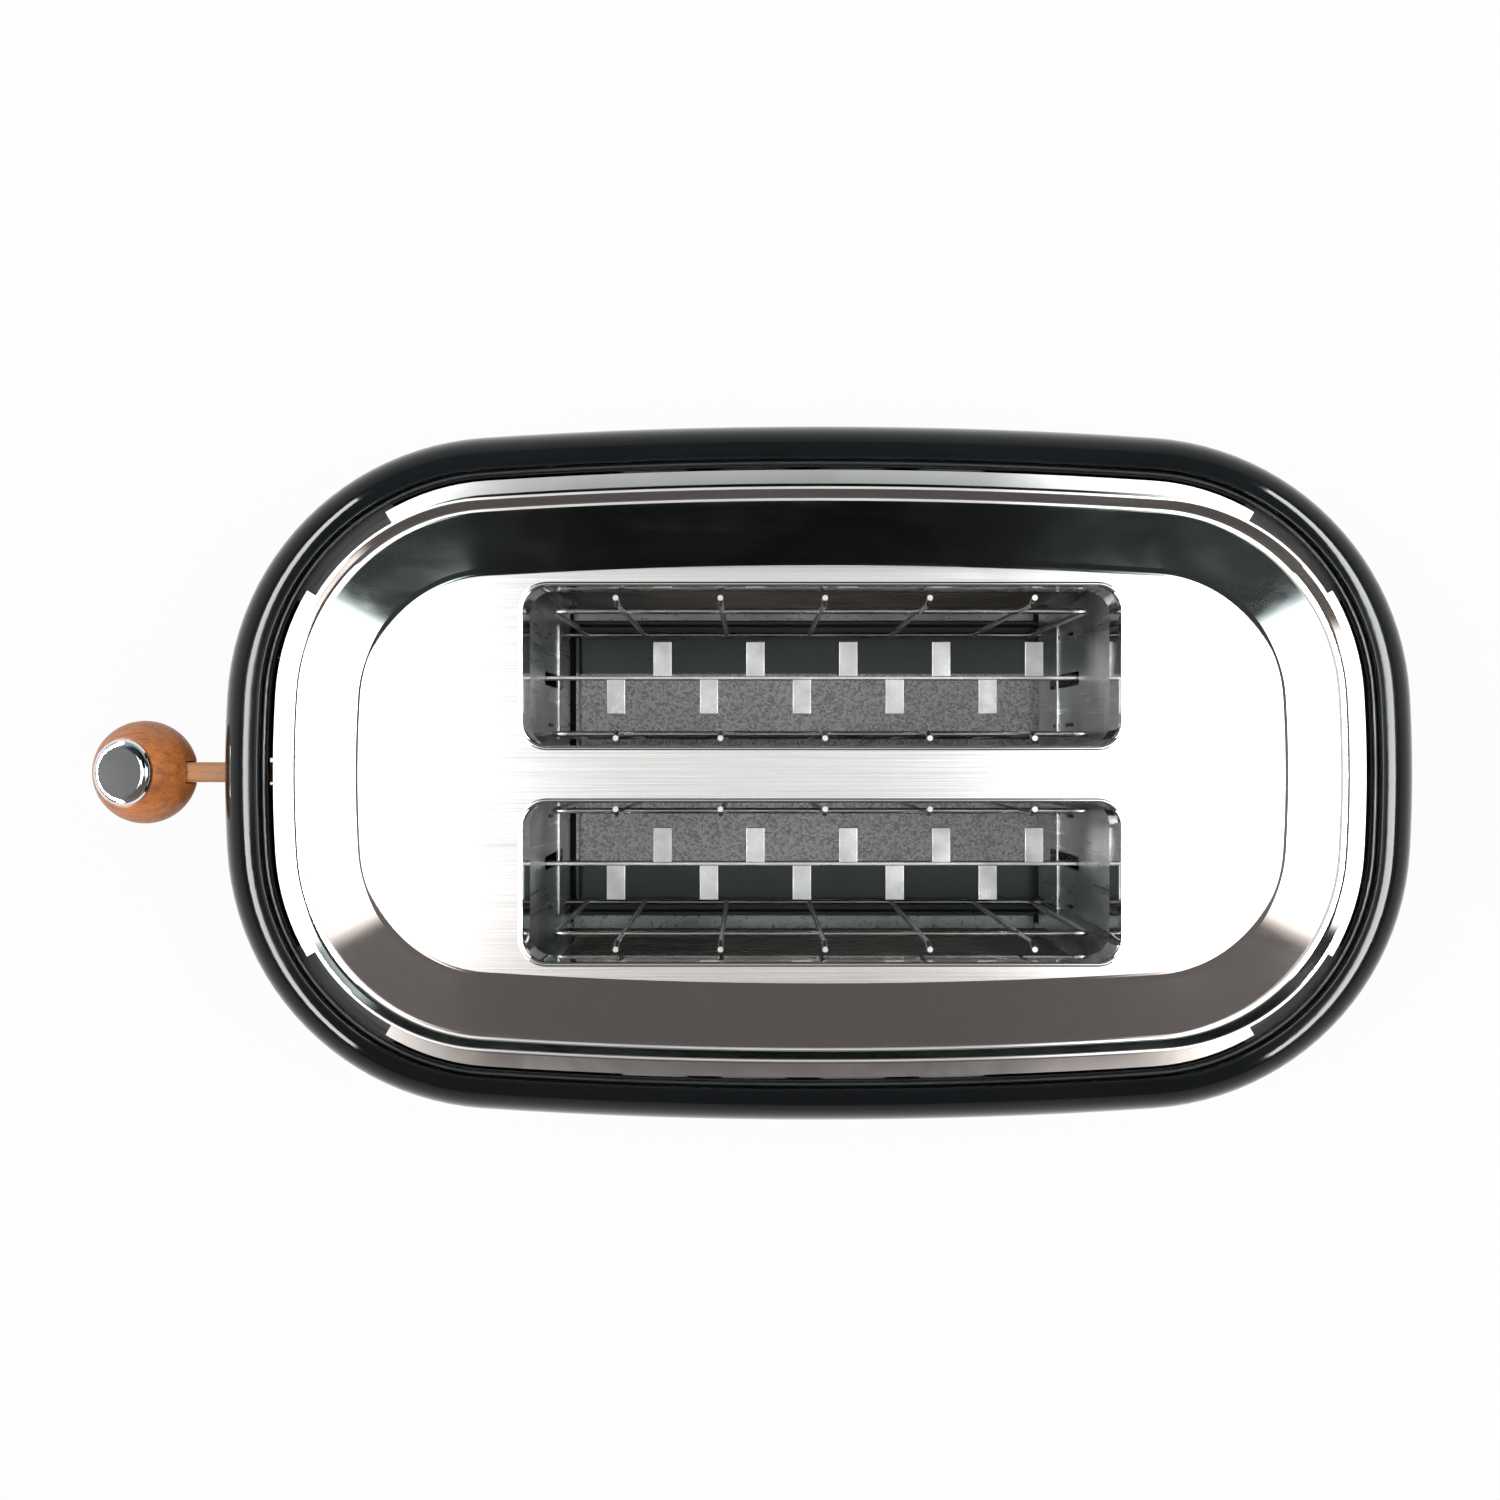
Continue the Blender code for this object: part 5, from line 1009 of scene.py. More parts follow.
class TOASTER_OT_frame(bpy.types.Operator):
    """Model the plastic frame that carries the crown, with its slits and four posts"""
    bl_idname = "toaster.frame"
    bl_label = "Top frame"

    def execute(self, context):
        body = context.scene.toaster_body
        crown = context.scene.toaster_crown
        rim = rim_oval()
        web = 0.0025
        web_width = 0.0125
        lip_drop = 0.0028
        lip_wall = 0.0008
        rib_inset = 0.001
        edge = 0.0003
        slit_edge = 0.0002
        bridge_angle = math.radians(34.0)
        post_radius = 0.0045
        post_foot = 0.0087
        web_top = body.rim_top - body.lip_depth - CLEARANCE
        web_bottom = web_top - web
        lip_top = body.rim_top - lip_drop
        lip_outer = inset(rim, body.lip_run + CLEARANCE)
        lip_inner = inset(lip_outer, lip_wall)
        rib_top = body.rim_top - crown.flange_drop - crown.sheet - CLEARANCE
        rib_outer = inset(crown_oval(), rib_inset)
        inner = inset(rim, web_width)
        under = inset(rim, -lip_wall)
        frame_piece = skin("rim_frame", oval_rings([
            (under, web_bottom), (under, web_top), (lip_outer, web_top),
            (lip_outer, lip_top - edge), (inset(lip_outer, edge), lip_top),
            (inset(lip_inner, -edge), lip_top), (lip_inner, lip_top - edge),
            (lip_inner, web_top), (rib_outer, web_top), (rib_outer, rib_top),
            (inner, rib_top), (inner, web_bottom)]), loop=True)
        slit_outer = inset(lip_inner, slit_edge)
        slit_inner = inset(rib_outer, -slit_edge)
        slit = skin("cutter", oval_rings([
            (slit_outer, web_bottom - OVERRUN), (slit_outer, web_top + slit_edge),
            (slit_inner, web_top + slit_edge), (slit_inner, web_bottom - OVERRUN)]), loop=True)
        bridges = [sector("bridge", rim, bridge_angle, OVERRUN, web_width,
                          web_bottom - 2 * OVERRUN, web_top + OVERRUN, quadrant)
                   for quadrant in QUADRANTS]
        carve(slit, *bridges)
        carve(frame_piece, slit)
        posts = []
        post_top = web_top - 0.0008
        post_profile = [(0, post_foot), (post_radius - 0.0003, post_foot),
                        (post_radius, post_foot + 0.0005), (post_radius, post_top),
                        (0, post_top)]
        for x, y in post_places():
            posts.append(turned("post", post_profile, 28, (x, y, 0)))
        together(frame_piece, *posts)
        finished(frame_piece, "body", "dark_plastic", "top_frame")
        return {'FINISHED'}


def post_places():
    """Where the four posts, screws and feet stand."""
    places = []
    for name in CORNERS:
        low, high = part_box("foot_" + name)
        places.append(((low.x + high.x) / 2, (low.y + high.y) / 2))
    return places


def slot_points(spare, side):
    """Outline of a bread slot, larger by a spare width all round."""
    crown = bpy.context.scene.toaster_crown
    return rounded_rectangle(crown.slot_half_length + spare, crown.slot_half_width + spare,
                             crown.slot_corner + spare, (0, side * crown.slot_y), SLOT_STEPS)


class TOASTER_OT_crown(bpy.types.Operator):
    """Model the polished steel crown with its brushed plate and two bread slots"""
    bl_idname = "toaster.crown"
    bl_label = "Steel crown"

    def execute(self, context):
        body = context.scene.toaster_body
        crown = context.scene.toaster_crown
        outer = crown_oval()
        flange_top = body.rim_top - crown.flange_drop
        rise = body.top - flange_top
        wall = crown.ridge_run - crown.flange_width
        groove = crown.ridge_run + crown.groove_run
        band = groove + crown.band_width
        groove_z = body.top - crown.groove_drop
        band_z = groove_z + crown.band_rise
        plate_z = band_z + crown.step_rise
        wall_shares = ((0.22, 0.05), (0.55, 0.72), (0.74, 0.96))
        ridge = (crown.ridge_run - 0.0003, body.top)
        ridge_end = (crown.ridge_run + 0.0004, body.top)
        groove_foot = 0.0009
        wall_bend = 0.0012
        ridge_bend = 0.0002
        notch_top = flange_top + 0.0012
        profile = [(0, flange_top), (crown.flange_width, flange_top)]
        profile += [(crown.flange_width + wall * run, flange_top + rise * height)
                    for run, height in wall_shares]
        profile.append(ridge)
        profile = eased(profile, wall_bend, 5)
        profile += eased([ridge, ridge_end, (groove - groove_foot, groove_z),
                          (groove, groove_z), (band, band_z),
                          (band + crown.step_run, plate_z)], ridge_bend, 4)[1:]
        rings = [ring(oval_points(inset(outer, run)), height) for run, height in profile]
        top = skin("crown_steel", rings, close_last=True)
        thicken(top, crown.sheet)
        for side in SIDES:
            carve(top, prism_up("cutter", slot_points(crown.sheet / 2, side),
                                plate_z - OVERRUN, plate_z + OVERRUN))
        for quadrant in QUADRANTS:
            carve(top, sector("cutter", outer, crown.notch_angle, OVERRUN, crown.notch_depth,
                              flange_top - OVERRUN, notch_top, quadrant))
        collars = []
        foot = plate_z - crown.skirt_depth
        bead = crown.bead_rise
        half_profile = eased([(crown.sheet, foot), (crown.sheet, plate_z - 0.0012),
                              (crown.bead_width, plate_z - 0.0004),
                              (crown.bead_width, plate_z + 0.00001),
                              (crown.bead_width * 0.85, plate_z + bead),
                              (crown.bead_width * 0.25, plate_z + bead),
                              (0.0001, plate_z - bead * 1.5), (0, plate_z - 0.0030),
                              (0, foot)], 0.0006, 4)
        for side in SIDES:
            rings = [ring(slot_points(spare, side), height) for spare, height in half_profile]
            collars.append(skin("collar", rings, loop=True))
        together(top, *collars)
        finished(top, "body", "polished_steel", "top_panel", angle=40.0)
        top.data.materials.append(finish_for("brushed_steel"))
        inner = inset(outer, band + crown.step_run)
        near, upright = 0.00005, 0.99
        for face in top.data.polygons:
            centre = face.center
            level = abs(centre.z - plate_z) < near and face.normal.z > upright
            if level and abs(centre.x - body.centre_x) < inner.half_length:
                face.material_index = 1
        return {'FINISHED'}


class TOASTER_OT_base(bpy.types.Operator):
    """Model the base pan with its vents, tray opening, rod boss and board clips"""
    bl_idname = "toaster.base"
    bl_label = "Base pan"

    def execute(self, context):
        body = context.scene.toaster_body
        oval = base_oval()
        foot = body.base_bottom
        bend = 0.0020
        bend_steps = 5
        vent = (0.010, 0.0015, 0.00145)
        vent_pitch = 0.030
        vent_y = oval.half_width - 0.017
        screw_hole = 0.0020
        cut = (foot - OVERRUN, foot + 0.006)
        pairs = []
        for k in range(bend_steps + 1):
            angle = math.pi / 2 * k / bend_steps
            pairs.append((inset(oval, bend * (1 - math.sin(angle))),
                          foot + bend * (1 - math.cos(angle))))
        pairs.append((oval, body.base_top))
        base = skin("base_pan", oval_rings(pairs), close_first=True)
        thicken(base, body.base_wall)
        tray_low, tray_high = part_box("tray_front")
        tray_gap = 0.0004
        under_gap = 0.00015
        carve(base, block("cutter", (body.centre_x + CHAMBER_END, tray_low.y - tray_gap,
                                     tray_low.z - under_gap),
                          (body.centre_x + body.half_length, tray_high.y + tray_gap,
                           tray_high.z + tray_gap)))
        for k in range(-1, 3):
            x = vent_pitch * (k - 0.5)
            for y in (-vent_y, vent_y):
                carve(base, prism_up("cutter", rounded_rectangle(*vent, (x, y), 5), *cut))
        for x, y in post_places():
            points = circle((x - body.centre_x, y), screw_hole, 20)
            carve(base, prism_up("cutter", points, *cut))
        rod_low, rod_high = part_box("guide_rod")
        rod_x = (rod_low.x + rod_high.x) / 2
        floor = foot + body.base_wall
        sink = floor - 0.001
        bore, wide, tall = 0.0033, 0.0065, 0.008
        boss = turned("boss", [(bore, floor), (bore, floor + 0.0078), (0.0035, floor + tall),
                               (0.0062, floor + tall), (wide, floor + 0.0077), (wide, sink),
                               (bore, sink)], 32, (rod_x, 0, 0), closed=True)
        board_low, board_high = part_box("control_board")
        clip_wall, clip_half, clip_y, clip_tall = 0.0016, 0.010, 0.022, 0.006
        clips = []
        for y in (-clip_y, clip_y):
            for x in (board_low.x - clip_wall - CLEARANCE, board_high.x + CLEARANCE):
                clips.append(block("clip", (x, y - clip_half, sink),
                                   (x + clip_wall, y + clip_half, floor + clip_tall), 0.0003))
        together(base, boss, *clips)
        finished(base, "body", "dark_plastic", "base_plate")
        return {'FINISHED'}


class TOASTER_OT_feet(bpy.types.Operator):
    """Model the four rubber feet and the cross-head screws inside them"""
    bl_idname = "toaster.feet"
    bl_label = "Feet and screws"

    def execute(self, context):
        bore, well, seat, tall = 0.0020, 0.0042, 0.0032, 0.0057
        foot_profile = eased([(bore, tall), (0.0095, tall), (0.0085, 0), (0.0048, 0),
                              (well, 0.0006), (well, seat), (bore, seat)], 0.0005, 4)
        shank, tip, head, head_foot = 0.0017, 0.0194, 0.0029, 0.0013
        screw_profile = [(0, tip), (0.0008, tip), (shank, tip - 0.0017), (shank, head),
                         (0.0034, head), (0.0036, head - 0.0003), (0.0031, 0.0015),
                         (0.0022, head_foot), (0, head_foot)]
        cross = (0.0021, 0.00035)
        cross_foot, cross_top = 0.0005, 0.0022
        for name, (x, y) in zip(CORNERS, post_places()):
            foot = turned("rubber_foot_" + name, foot_profile, 48, (x, y, 0), closed=True)
            finished(foot, "body", "rubber", "foot_" + name)
            screw = turned("foot_screw_" + name, screw_profile, 32, (x, y, 0))
            for dx, dy in (cross, cross[::-1]):
                carve(screw, block("cutter", (x - dx, y - dy, cross_foot),
                                   (x + dx, y + dy, cross_top)))
            finished(screw, "body", "wire_steel", "base_screw_" + name)
        return {'FINISHED'}


class TOASTER_OT_gland(bpy.types.Operator):
    """Model the rubber gland that the cord passes through"""
    bl_idname = "toaster.gland"
    bl_label = "Cord gland"

    def execute(self, context):
        low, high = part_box("cord_gland")
        deep = high.x - low.x
        middle = (low.z + high.z) / 2
        bore, neck, inner_flange, outer_flange = 0.0035, 0.0057, 0.0072, 0.0085
        neck_start, neck_end = 0.0012, 0.0046
        dish = deep - 0.0007
        profile = eased([(bore, 0), (inner_flange, 0), (inner_flange, neck_start),
                         (neck, neck_start), (neck, neck_end), (outer_flange, neck_end),
                         (outer_flange, deep - 0.0004), (0.0070, deep), (0.0052, deep),
                         (0.0046, dish), (bore, dish)], 0.0004, 3)
        gland = turned("cord_bush", profile, 48, (low.x, 0, middle), math.pi / 2, closed=True)
        finished(gland, "body", "rubber", "cord_gland")
        return {'FINISHED'}


def end_cuts():
    """Outlines of the holes in an end plate: rack slots, slits beside them and hinge holes."""
    outlines = []
    for y in (SLOT_Y, -SLOT_Y):
        outlines.append(rounded_rectangle(*RACK_SLOT, (y, RACK_SLOT_Z), 4))
        for z in SLIT_ZS:
            for shift in (-SLIT_SHIFT, SLIT_SHIFT):
                outlines.append(rounded_rectangle(*SLIT, (y + shift, z), 3))
    outlines += [circle((y, HINGE_Z), HINGE_HOLE, 16) for y in HINGE_YS]
    return outlines


class TOASTER_OT_chamber(bpy.types.Operator):
    """Model the chamber's end plates and heat shields in sheet steel"""
    bl_idname = "toaster.chamber"
    bl_label = "Bread chamber"

    def execute(self, context):
        chamber = context.scene.toaster_chamber
        leg, leg_top = 0.008, 0.0199
        neck, shoulder_drop = 0.0453, 0.0045
        rib_half, rib_low, rib_high = 0.0165, 0.0637, 0.0653
        rib_sink, rib_stand, rib_edge = 0.0004, 0.0007, 0.0004
        for name in ("lever", "rear"):
            low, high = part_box("end_plate_" + name)
            top, foot = high.z, low.z
            half = high.y
            right = [(half - leg, leg_top), (half - leg, foot), (half, foot),
                     (half, top - shoulder_drop), (neck, top - shoulder_drop), (neck, top)]
            outline = right + [(-y, z) for y, z in reversed(right)]
            plate = prism_along("chamber_end_" + name, outline, low.x, high.x)
            carve(plate, *[prism_along("cutter", points, low.x - END_OVERRUN,
                                       high.x + END_OVERRUN) for points in end_cuts()])
            inner = high.x if name == "lever" else low.x
            way = 1 if name == "lever" else -1
            first, last = sorted((inner - way * rib_sink, inner + way * rib_stand))
            ribs = [block("rib", (first, y - rib_half, rib_low), (last, y + rib_half, rib_high),
                          rib_edge) for y in (SLOT_Y, -SLOT_Y)]
            together(plate, *ribs)
            finished(plate, "body", "chamber_steel", "end_plate_" + name)
        reach = chamber.half_length - CLEARANCE
        centre = context.scene.toaster_body.centre_x
        low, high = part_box("reflector_rear")
        near, far = low.y, high.y
        foot_y = near - chamber.shield_foot
        foot_top = low.z + 0.0010
        bend = 0.0006
        section = [(far, low.z), (far, high.z - bend), (far - 0.0004, high.z),
                   (near + 0.0001, high.z), (near, high.z - 0.0003), (near, foot_top + bend),
                   (near - bend, foot_top), (foot_y, foot_top), (foot_y, low.z)]
        rear = prism_along("heat_shield_rear", section, centre - reach, centre + reach)
        swage_inset, swage_half, swage_stand, swage_sink = 0.010, 0.004, 0.0007, 0.0003
        swages = []
        for z in (0.052, 0.092, 0.132):
            swages.append(block("swage", (centre - reach + swage_inset, near - swage_stand,
                                          z - swage_half),
                                (centre + reach - swage_inset, near + swage_sink,
                                 z + swage_half), bend, 3))
        together(rear, *swages)
        front = copy_of(rear, "heat_shield_front", mirror_y=True)
        finished(rear, "body", "chamber_steel", "reflector_rear")
        finished(front, "body", "chamber_steel", "reflector_front")
        return {'FINISHED'}


class TOASTER_OT_heaters(bpy.types.Operator):
    """Wind a flat resistance ribbon round each mica board"""
    bl_idname = "toaster.heaters"
    bl_label = "Heater ribbons"

    def execute(self, context):
        chamber = context.scene.toaster_chamber
        first = None
        inset_by = 0.0004
        for name in BOARDS:
            low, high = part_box("heater_winding_" + name)
            middle = (low + high) / 2
            if first is None:
                first = middle.copy()
                reach = (high.x - low.x) / 2 - inset_by
                stand = (high.y - low.y) / 2 - inset_by
                span_z = high.z - low.z - 2 * chamber.ribbon_half_height
                pitch = span_z / chamber.ribbon_turns
                points = []
                for k in range(chamber.ribbon_turns):
                    z = middle.z - span_z / 2 + pitch * (k + 0.1)
                    for x, y, lift in ((-reach, -stand, 0), (reach, -stand, 0.1),
                                       (reach, stand, 0.3), (-reach, stand, 0.8)):
                        points.append((middle.x + x, middle.y + y, z + pitch * lift))
                coil = path("heater_ribbon_" + name, points)
                bpy.ops.object.mode_set(mode='OBJECT')
                bpy.ops.object.convert(target='CURVE')
                coil = bpy.context.object
                coil.data.twist_mode = 'Z_UP'
                coil.data.extrude = chamber.ribbon_half_height
                bpy.ops.object.convert(target='MESH')
                coil = bpy.context.object
                sheet = coil.modifiers.new("sheet", 'SOLIDIFY')
                sheet.thickness = chamber.ribbon_sheet
                sheet.offset = 0
                apply_all(coil)
                thing = coil
            else:
                thing = copy_of(coil, "heater_ribbon_" + name, middle - first)
            finished(thing, "body", "ribbon", "heater_winding_" + name)
        return {'FINISHED'}


class TOASTER_OT_guards(bpy.types.Operator):
    """Bend and weld the four wire bread guards"""
    bl_idname = "toaster.guards"
    bl_label = "Bread guards"

    def execute(self, context):
        chamber = context.scene.toaster_chamber
        centre = context.scene.toaster_body.centre_x
        hoop_top, hoop_wire = 0.143, 0.00074
        side, corner = 0.067, 0.004
        middle = centre + 0.0012
        kink_drop, kink_run, kink_rise = 0.005, 0.0012, 0.0017
        for name in BOARDS:
            low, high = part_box("bread_guard_" + name)
            lean = -1 if name in ("front_outer", "rear_inner") else 1
            y = low.y + chamber.guard_wire if lean > 0 else high.y - chamber.guard_wire
            hinge, tip = low.z + chamber.guard_wire, high.z - SAME_POINT
            hoop = [(middle - side, y, hinge)]
            hoop += [(x, y, z) for x, z in arc((middle - side + corner, hoop_top - corner), corner,
                                               math.pi, math.pi / 2, 8)]
            hoop += [(x, y, z) for x, z in arc((middle + side - corner, hoop_top - corner), corner,
                                               math.pi / 2, 0, 8)]
            hoop.append((middle + side, y, hinge))
            guard = wire("bread_cage_" + name, [(low.x, y, hinge), (high.x, y, hinge)],
                         chamber.guard_wire, 4)
            parts = [wire("hoop", hoop, hoop_wire, 3)]
            out = lean * kink_run
            bend = tip - kink_drop
            for k in range(-2, 3):
                x = middle + chamber.guard_pitch * k
                bar = eased([(x, y, hinge), (x, y, bend), (x, y + out, bend + kink_rise),
                             (x, y + out, tip)], 0.0010, 3)
                parts.append(wire("bar", bar, chamber.guard_bar, 3))
            together(guard, *parts)
            finished(guard, "guard_" + name, "wire_steel", "bread_guard_" + name, angle=50.0)
        return {'FINISHED'}


class TOASTER_OT_racks(bpy.types.Operator):
    """Fold the two bread racks, each a strip with tabs to either side"""
    bl_idname = "toaster.racks"
    bl_label = "Bread racks"

    def execute(self, context):
        chamber = context.scene.toaster_chamber
        centre = context.scene.toaster_body.centre_x
        half = 0.0005
        edge = 0.0002
        tab_shift, tab_foot, tab_edge = 0.0036, 0.0012, 0.00025
        for name, y in (("front", -SLOT_Y), ("rear", SLOT_Y)):
            low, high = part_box("bread_rack_" + name)
            strip = block("bread_lift_" + name, (low.x, y - half, low.z),
                          (high.x, y + half, high.z), edge)
            tabs = []
            for k in range(chamber.tabs):
                x = centre + chamber.tab_pitch * (k - (chamber.tabs - 1) / 2) + tab_shift
                side = -1 if k % 2 == 0 else 1
                first, last = sorted((-side * edge, side * chamber.tab_length))
                tab = block("tab", (x - chamber.tab_width / 2, y + first, high.z - tab_foot),
                            (x + chamber.tab_width / 2, y + last, high.z - edge), tab_edge)
                tabs.append(tab)
            together(strip, *tabs)
            finished(strip, "carriage", "chamber_steel", "bread_rack_" + name,
                     finish=finish_for("rack_steel"))
        return {'FINISHED'}


class TOASTER_OT_lever(bpy.types.Operator):
    """Turn the wooden ball, shape its arm and set the cap in its seat"""
    bl_idname = "toaster.lever"
    bl_label = "Lever"

    def execute(self, context):
        controls = context.scene.toaster_controls
        low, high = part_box("lever_arm")
        arm = block("lever_bar", low, high, controls.arm_edge, 4)
        finished(arm, "carriage", "pale_wood", "lever_arm")
        radius = controls.knob_radius
        middle = Vector((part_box("lever_knob")[0].x + radius, 0, (low.z + high.z) / 2))
        rings = 40
        turn_steps = 72
        profile = [(radius * math.sin(math.pi * k / rings), radius * math.cos(math.pi * k / rings))
                   for k in range(rings + 1)]
        ball = turned("lever_ball", profile, turn_steps, middle)
        gap = CLEARANCE
        carve(ball, block("cutter", (low.x - gap, low.y - gap, low.z - gap),
                          (middle.x + radius, high.y + gap, high.z + gap)))
        seat = controls.cap_seat
        cup_radius = controls.cap_radius + gap
        reach = math.sqrt(radius ** 2 - seat ** 2) + 0.002
        cup = turned("cutter", [(0, seat), (cup_radius, seat), (cup_radius, seat + gap),
                                (reach, seat + 0.0012), (reach, radius * 2), (0, radius * 2)],
                     turn_steps, middle, -controls.cap_tilt)
        carve(ball, cup)
        finished(ball, "carriage", "oiled_wood", "lever_knob", angle=40.0)
        tilt = Matrix.Rotation(-controls.cap_tilt, 3, 'Y')
        where = middle + tilt @ Vector((0, 0, seat + gap))
        edge = controls.cap_radius
        tall = 0.0019
        cap_profile = eased([(0, tall), (edge * 0.79, tall), (edge * 0.94, 0.0013),
                             (edge, 0.0003), (edge, 0), (0, 0)], 0.0005, 5)
        cap = turned("lever_ball_cap", cap_profile, turn_steps, where, -controls.cap_tilt)
        finished(cap, "carriage", "chrome", "knob_cap")
        return {'FINISHED'}


class TOASTER_OT_panel(bpy.types.Operator):
    """Model the control panel, with the lever's slot and the holes for buttons and dial"""
    bl_idname = "toaster.panel"
    bl_label = "Control panel"

    def execute(self, context):
        body = context.scene.toaster_body
        controls = context.scene.toaster_controls
        pairs = [pair for pair in shell_pairs(controls.panel_recess) if pair[1] <= body.widest]
        panel = skin("panel_face", oval_rings(pairs))
        thicken(panel, controls.panel_wall)
        reach = lever_end()
        carve(panel, prism_along("keeper", panel_outline(-CLEARANCE), *reach),
              operation='INTERSECT')
        slot_spare = 0.0015
        end_share = 0.98
        shaft_hole = 0.0034
        button_gap = 0.0004
        arm_low, arm_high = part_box("lever_arm")
        slot_low = arm_low.z - LEVER_TRAVEL - slot_spare
        slot_high = arm_high.z + slot_spare
        half = controls.slot_half_width
        slot = rounded_rectangle(half, (slot_high - slot_low) / 2, half * end_share,
                                 (0, (slot_low + slot_high) / 2))
        dial_low, dial_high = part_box("browning_dial")
        dial_z = (dial_low.z + dial_high.z) / 2
        holes = [slot, circle((0, dial_z), shaft_hole)]
        for name in BUTTONS:
            middle = middle_of(name + "_button")
            holes.append(circle((middle.y, middle.z), controls.button_radius + button_gap))
        for hole in holes:
            carve(panel, prism_along("cutter", hole, *reach))
        finished(panel, "body", "black_enamel", "control_panel")
        return {'FINISHED'}


class TOASTER_OT_buttons(bpy.types.Operator):
    """Turn the three push buttons, each with a shallow dish in its face"""
    bl_idname = "toaster.buttons"
    bl_label = "Push buttons"

    def execute(self, context):
        controls = context.scene.toaster_controls
        edge = controls.button_radius
        head, flange_radius, flange_sheet, stem = 0.0064, 0.0056, 0.0012, 0.002
        dish = 0.0006
        for name in BUTTONS:
            low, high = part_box(name + "_button")
            long = high.x - low.x
            middle = (low + high) / 2
            flange = long - head
            profile = eased([(0, long - dish - 0.0001), (edge * 0.5, long - dish),
                             (edge * 0.78, long), (edge * 0.9, long), (edge, long - dish),
                             (edge, flange), (flange_radius, flange),
                             (flange_radius, flange - flange_sheet),
                             (stem, flange - flange_sheet), (stem, 0), (0, 0)], 0.0004, 4)
            button = turned("push_button_" + name, profile, 48, (high.x, middle.y, middle.z),
                            -math.pi / 2)
            finished(button, "button_" + name, "polished_steel", name + "_button")
        return {'FINISHED'}


class TOASTER_OT_dial(bpy.types.Operator):
    """Turn the wooden browning dial and its steel cap"""
    bl_idname = "toaster.dial"
    bl_label = "Browning dial"

    def execute(self, context):
        low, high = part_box("browning_dial")
        deep = high.x - low.x
        middle = (low + high) / 2
        edge = context.scene.toaster_controls.dial_radius
        seat = deep - 0.0008
        seat_radius = 0.0103
        brow, heel = 0.0019, 0.0012
        bore, bore_depth = 0.0033, 0.007
        profile = eased([(0, seat), (seat_radius, seat), (seat_radius, deep),
                         (edge - brow, deep), (edge - 0.0004, deep - 0.0005),
                         (edge, deep - brow), (edge, heel), (edge - heel, 0), (bore, 0),
                         (bore, bore_depth), (0, bore_depth)], 0.0004, 4)
        dial = turned("browning_knob", profile, 72, (high.x, 0, middle.z), -math.pi / 2)
        finished(dial, "dial", "oiled_wood", "browning_dial")
        cap_low, cap_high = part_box("dial_cap")
        tall = cap_high.x - cap_low.x
        cap_radius = 0.0100
        cap_profile = eased([(0, tall), (0.0080, tall * 0.96), (0.0094, tall * 0.8),
                             (cap_radius, tall * 0.4), (cap_radius, 0), (0, 0)], 0.0006, 5)
        cap = turned("browning_knob_cap", cap_profile, 72, (cap_high.x, 0, middle.z),
                     -math.pi / 2)
        mark_half, mark_depth, mark_start, mark_end = 0.0004, 0.0005, 0.0045, 0.0088
        pointer = block("cutter", (cap_low.x - 0.002, -mark_half, middle.z + mark_start),
                        (cap_low.x + mark_depth, mark_half, middle.z + mark_end))
        carve(cap, pointer)
        finished(cap, "dial", "chrome", "dial_cap")
        return {'FINISHED'}


class TOASTER_OT_tray(bpy.types.Operator):
    """Fold the crumb tray and model its plastic front with the grip"""
    bl_idname = "toaster.tray"
    bl_label = "Crumb tray"

    def execute(self, context):
        body = context.scene.toaster_body
        low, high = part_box("crumb_tray")
        half_way = (low.z + high.z) / 2
        fold, sheet = 0.0018, 0.0008
        edge = 0.0004
        grip_half, grip_thick_half, grip_sink = 0.020, 0.0015, 0.0012
        pan = block("crumb_pan", low, high)
        bpy.ops.object.mode_set(mode='EDIT')
        pick(pan, lambda vert: vert.co.z > half_way)
        bpy.ops.mesh.delete(type='ONLY_FACE')
        pick(pan, lambda vert: vert.co.z < half_way)
        bpy.ops.mesh.bevel(offset=fold, segments=4, affect='EDGES')
        settle()
        thicken(pan, sheet)
        finished(pan, "tray", "tray_steel", "crumb_tray")
        front_low, front_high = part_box("tray_front")
        outer = base_oval()
        inner = inset(outer, body.base_wall)
        front = skin("crumb_pan_front", oval_rings([
            (inset(outer, edge), front_low.z), (outer, front_low.z + edge),
            (outer, front_high.z - edge), (inset(outer, edge), front_high.z),
            (inner, front_high.z), (inner, front_low.z)]), loop=True)
        carve(front, block("keeper", (body.centre_x + CHAMBER_END, front_low.y, 0),
                           (body.centre_x + body.half_length, front_high.y, body.top)),
              operation='INTERSECT')
        middle = (front_low.z + front_high.z) / 2
        grip = block("grip", (body.centre_x + outer.half_length - grip_sink, -grip_half,
                              middle - grip_thick_half),
                     (front_high.x, grip_half, middle + grip_thick_half), 0.0007, 4)
        together(front, grip)
        finished(front, "tray", "dark_plastic", "tray_front")
        return {'FINISHED'}


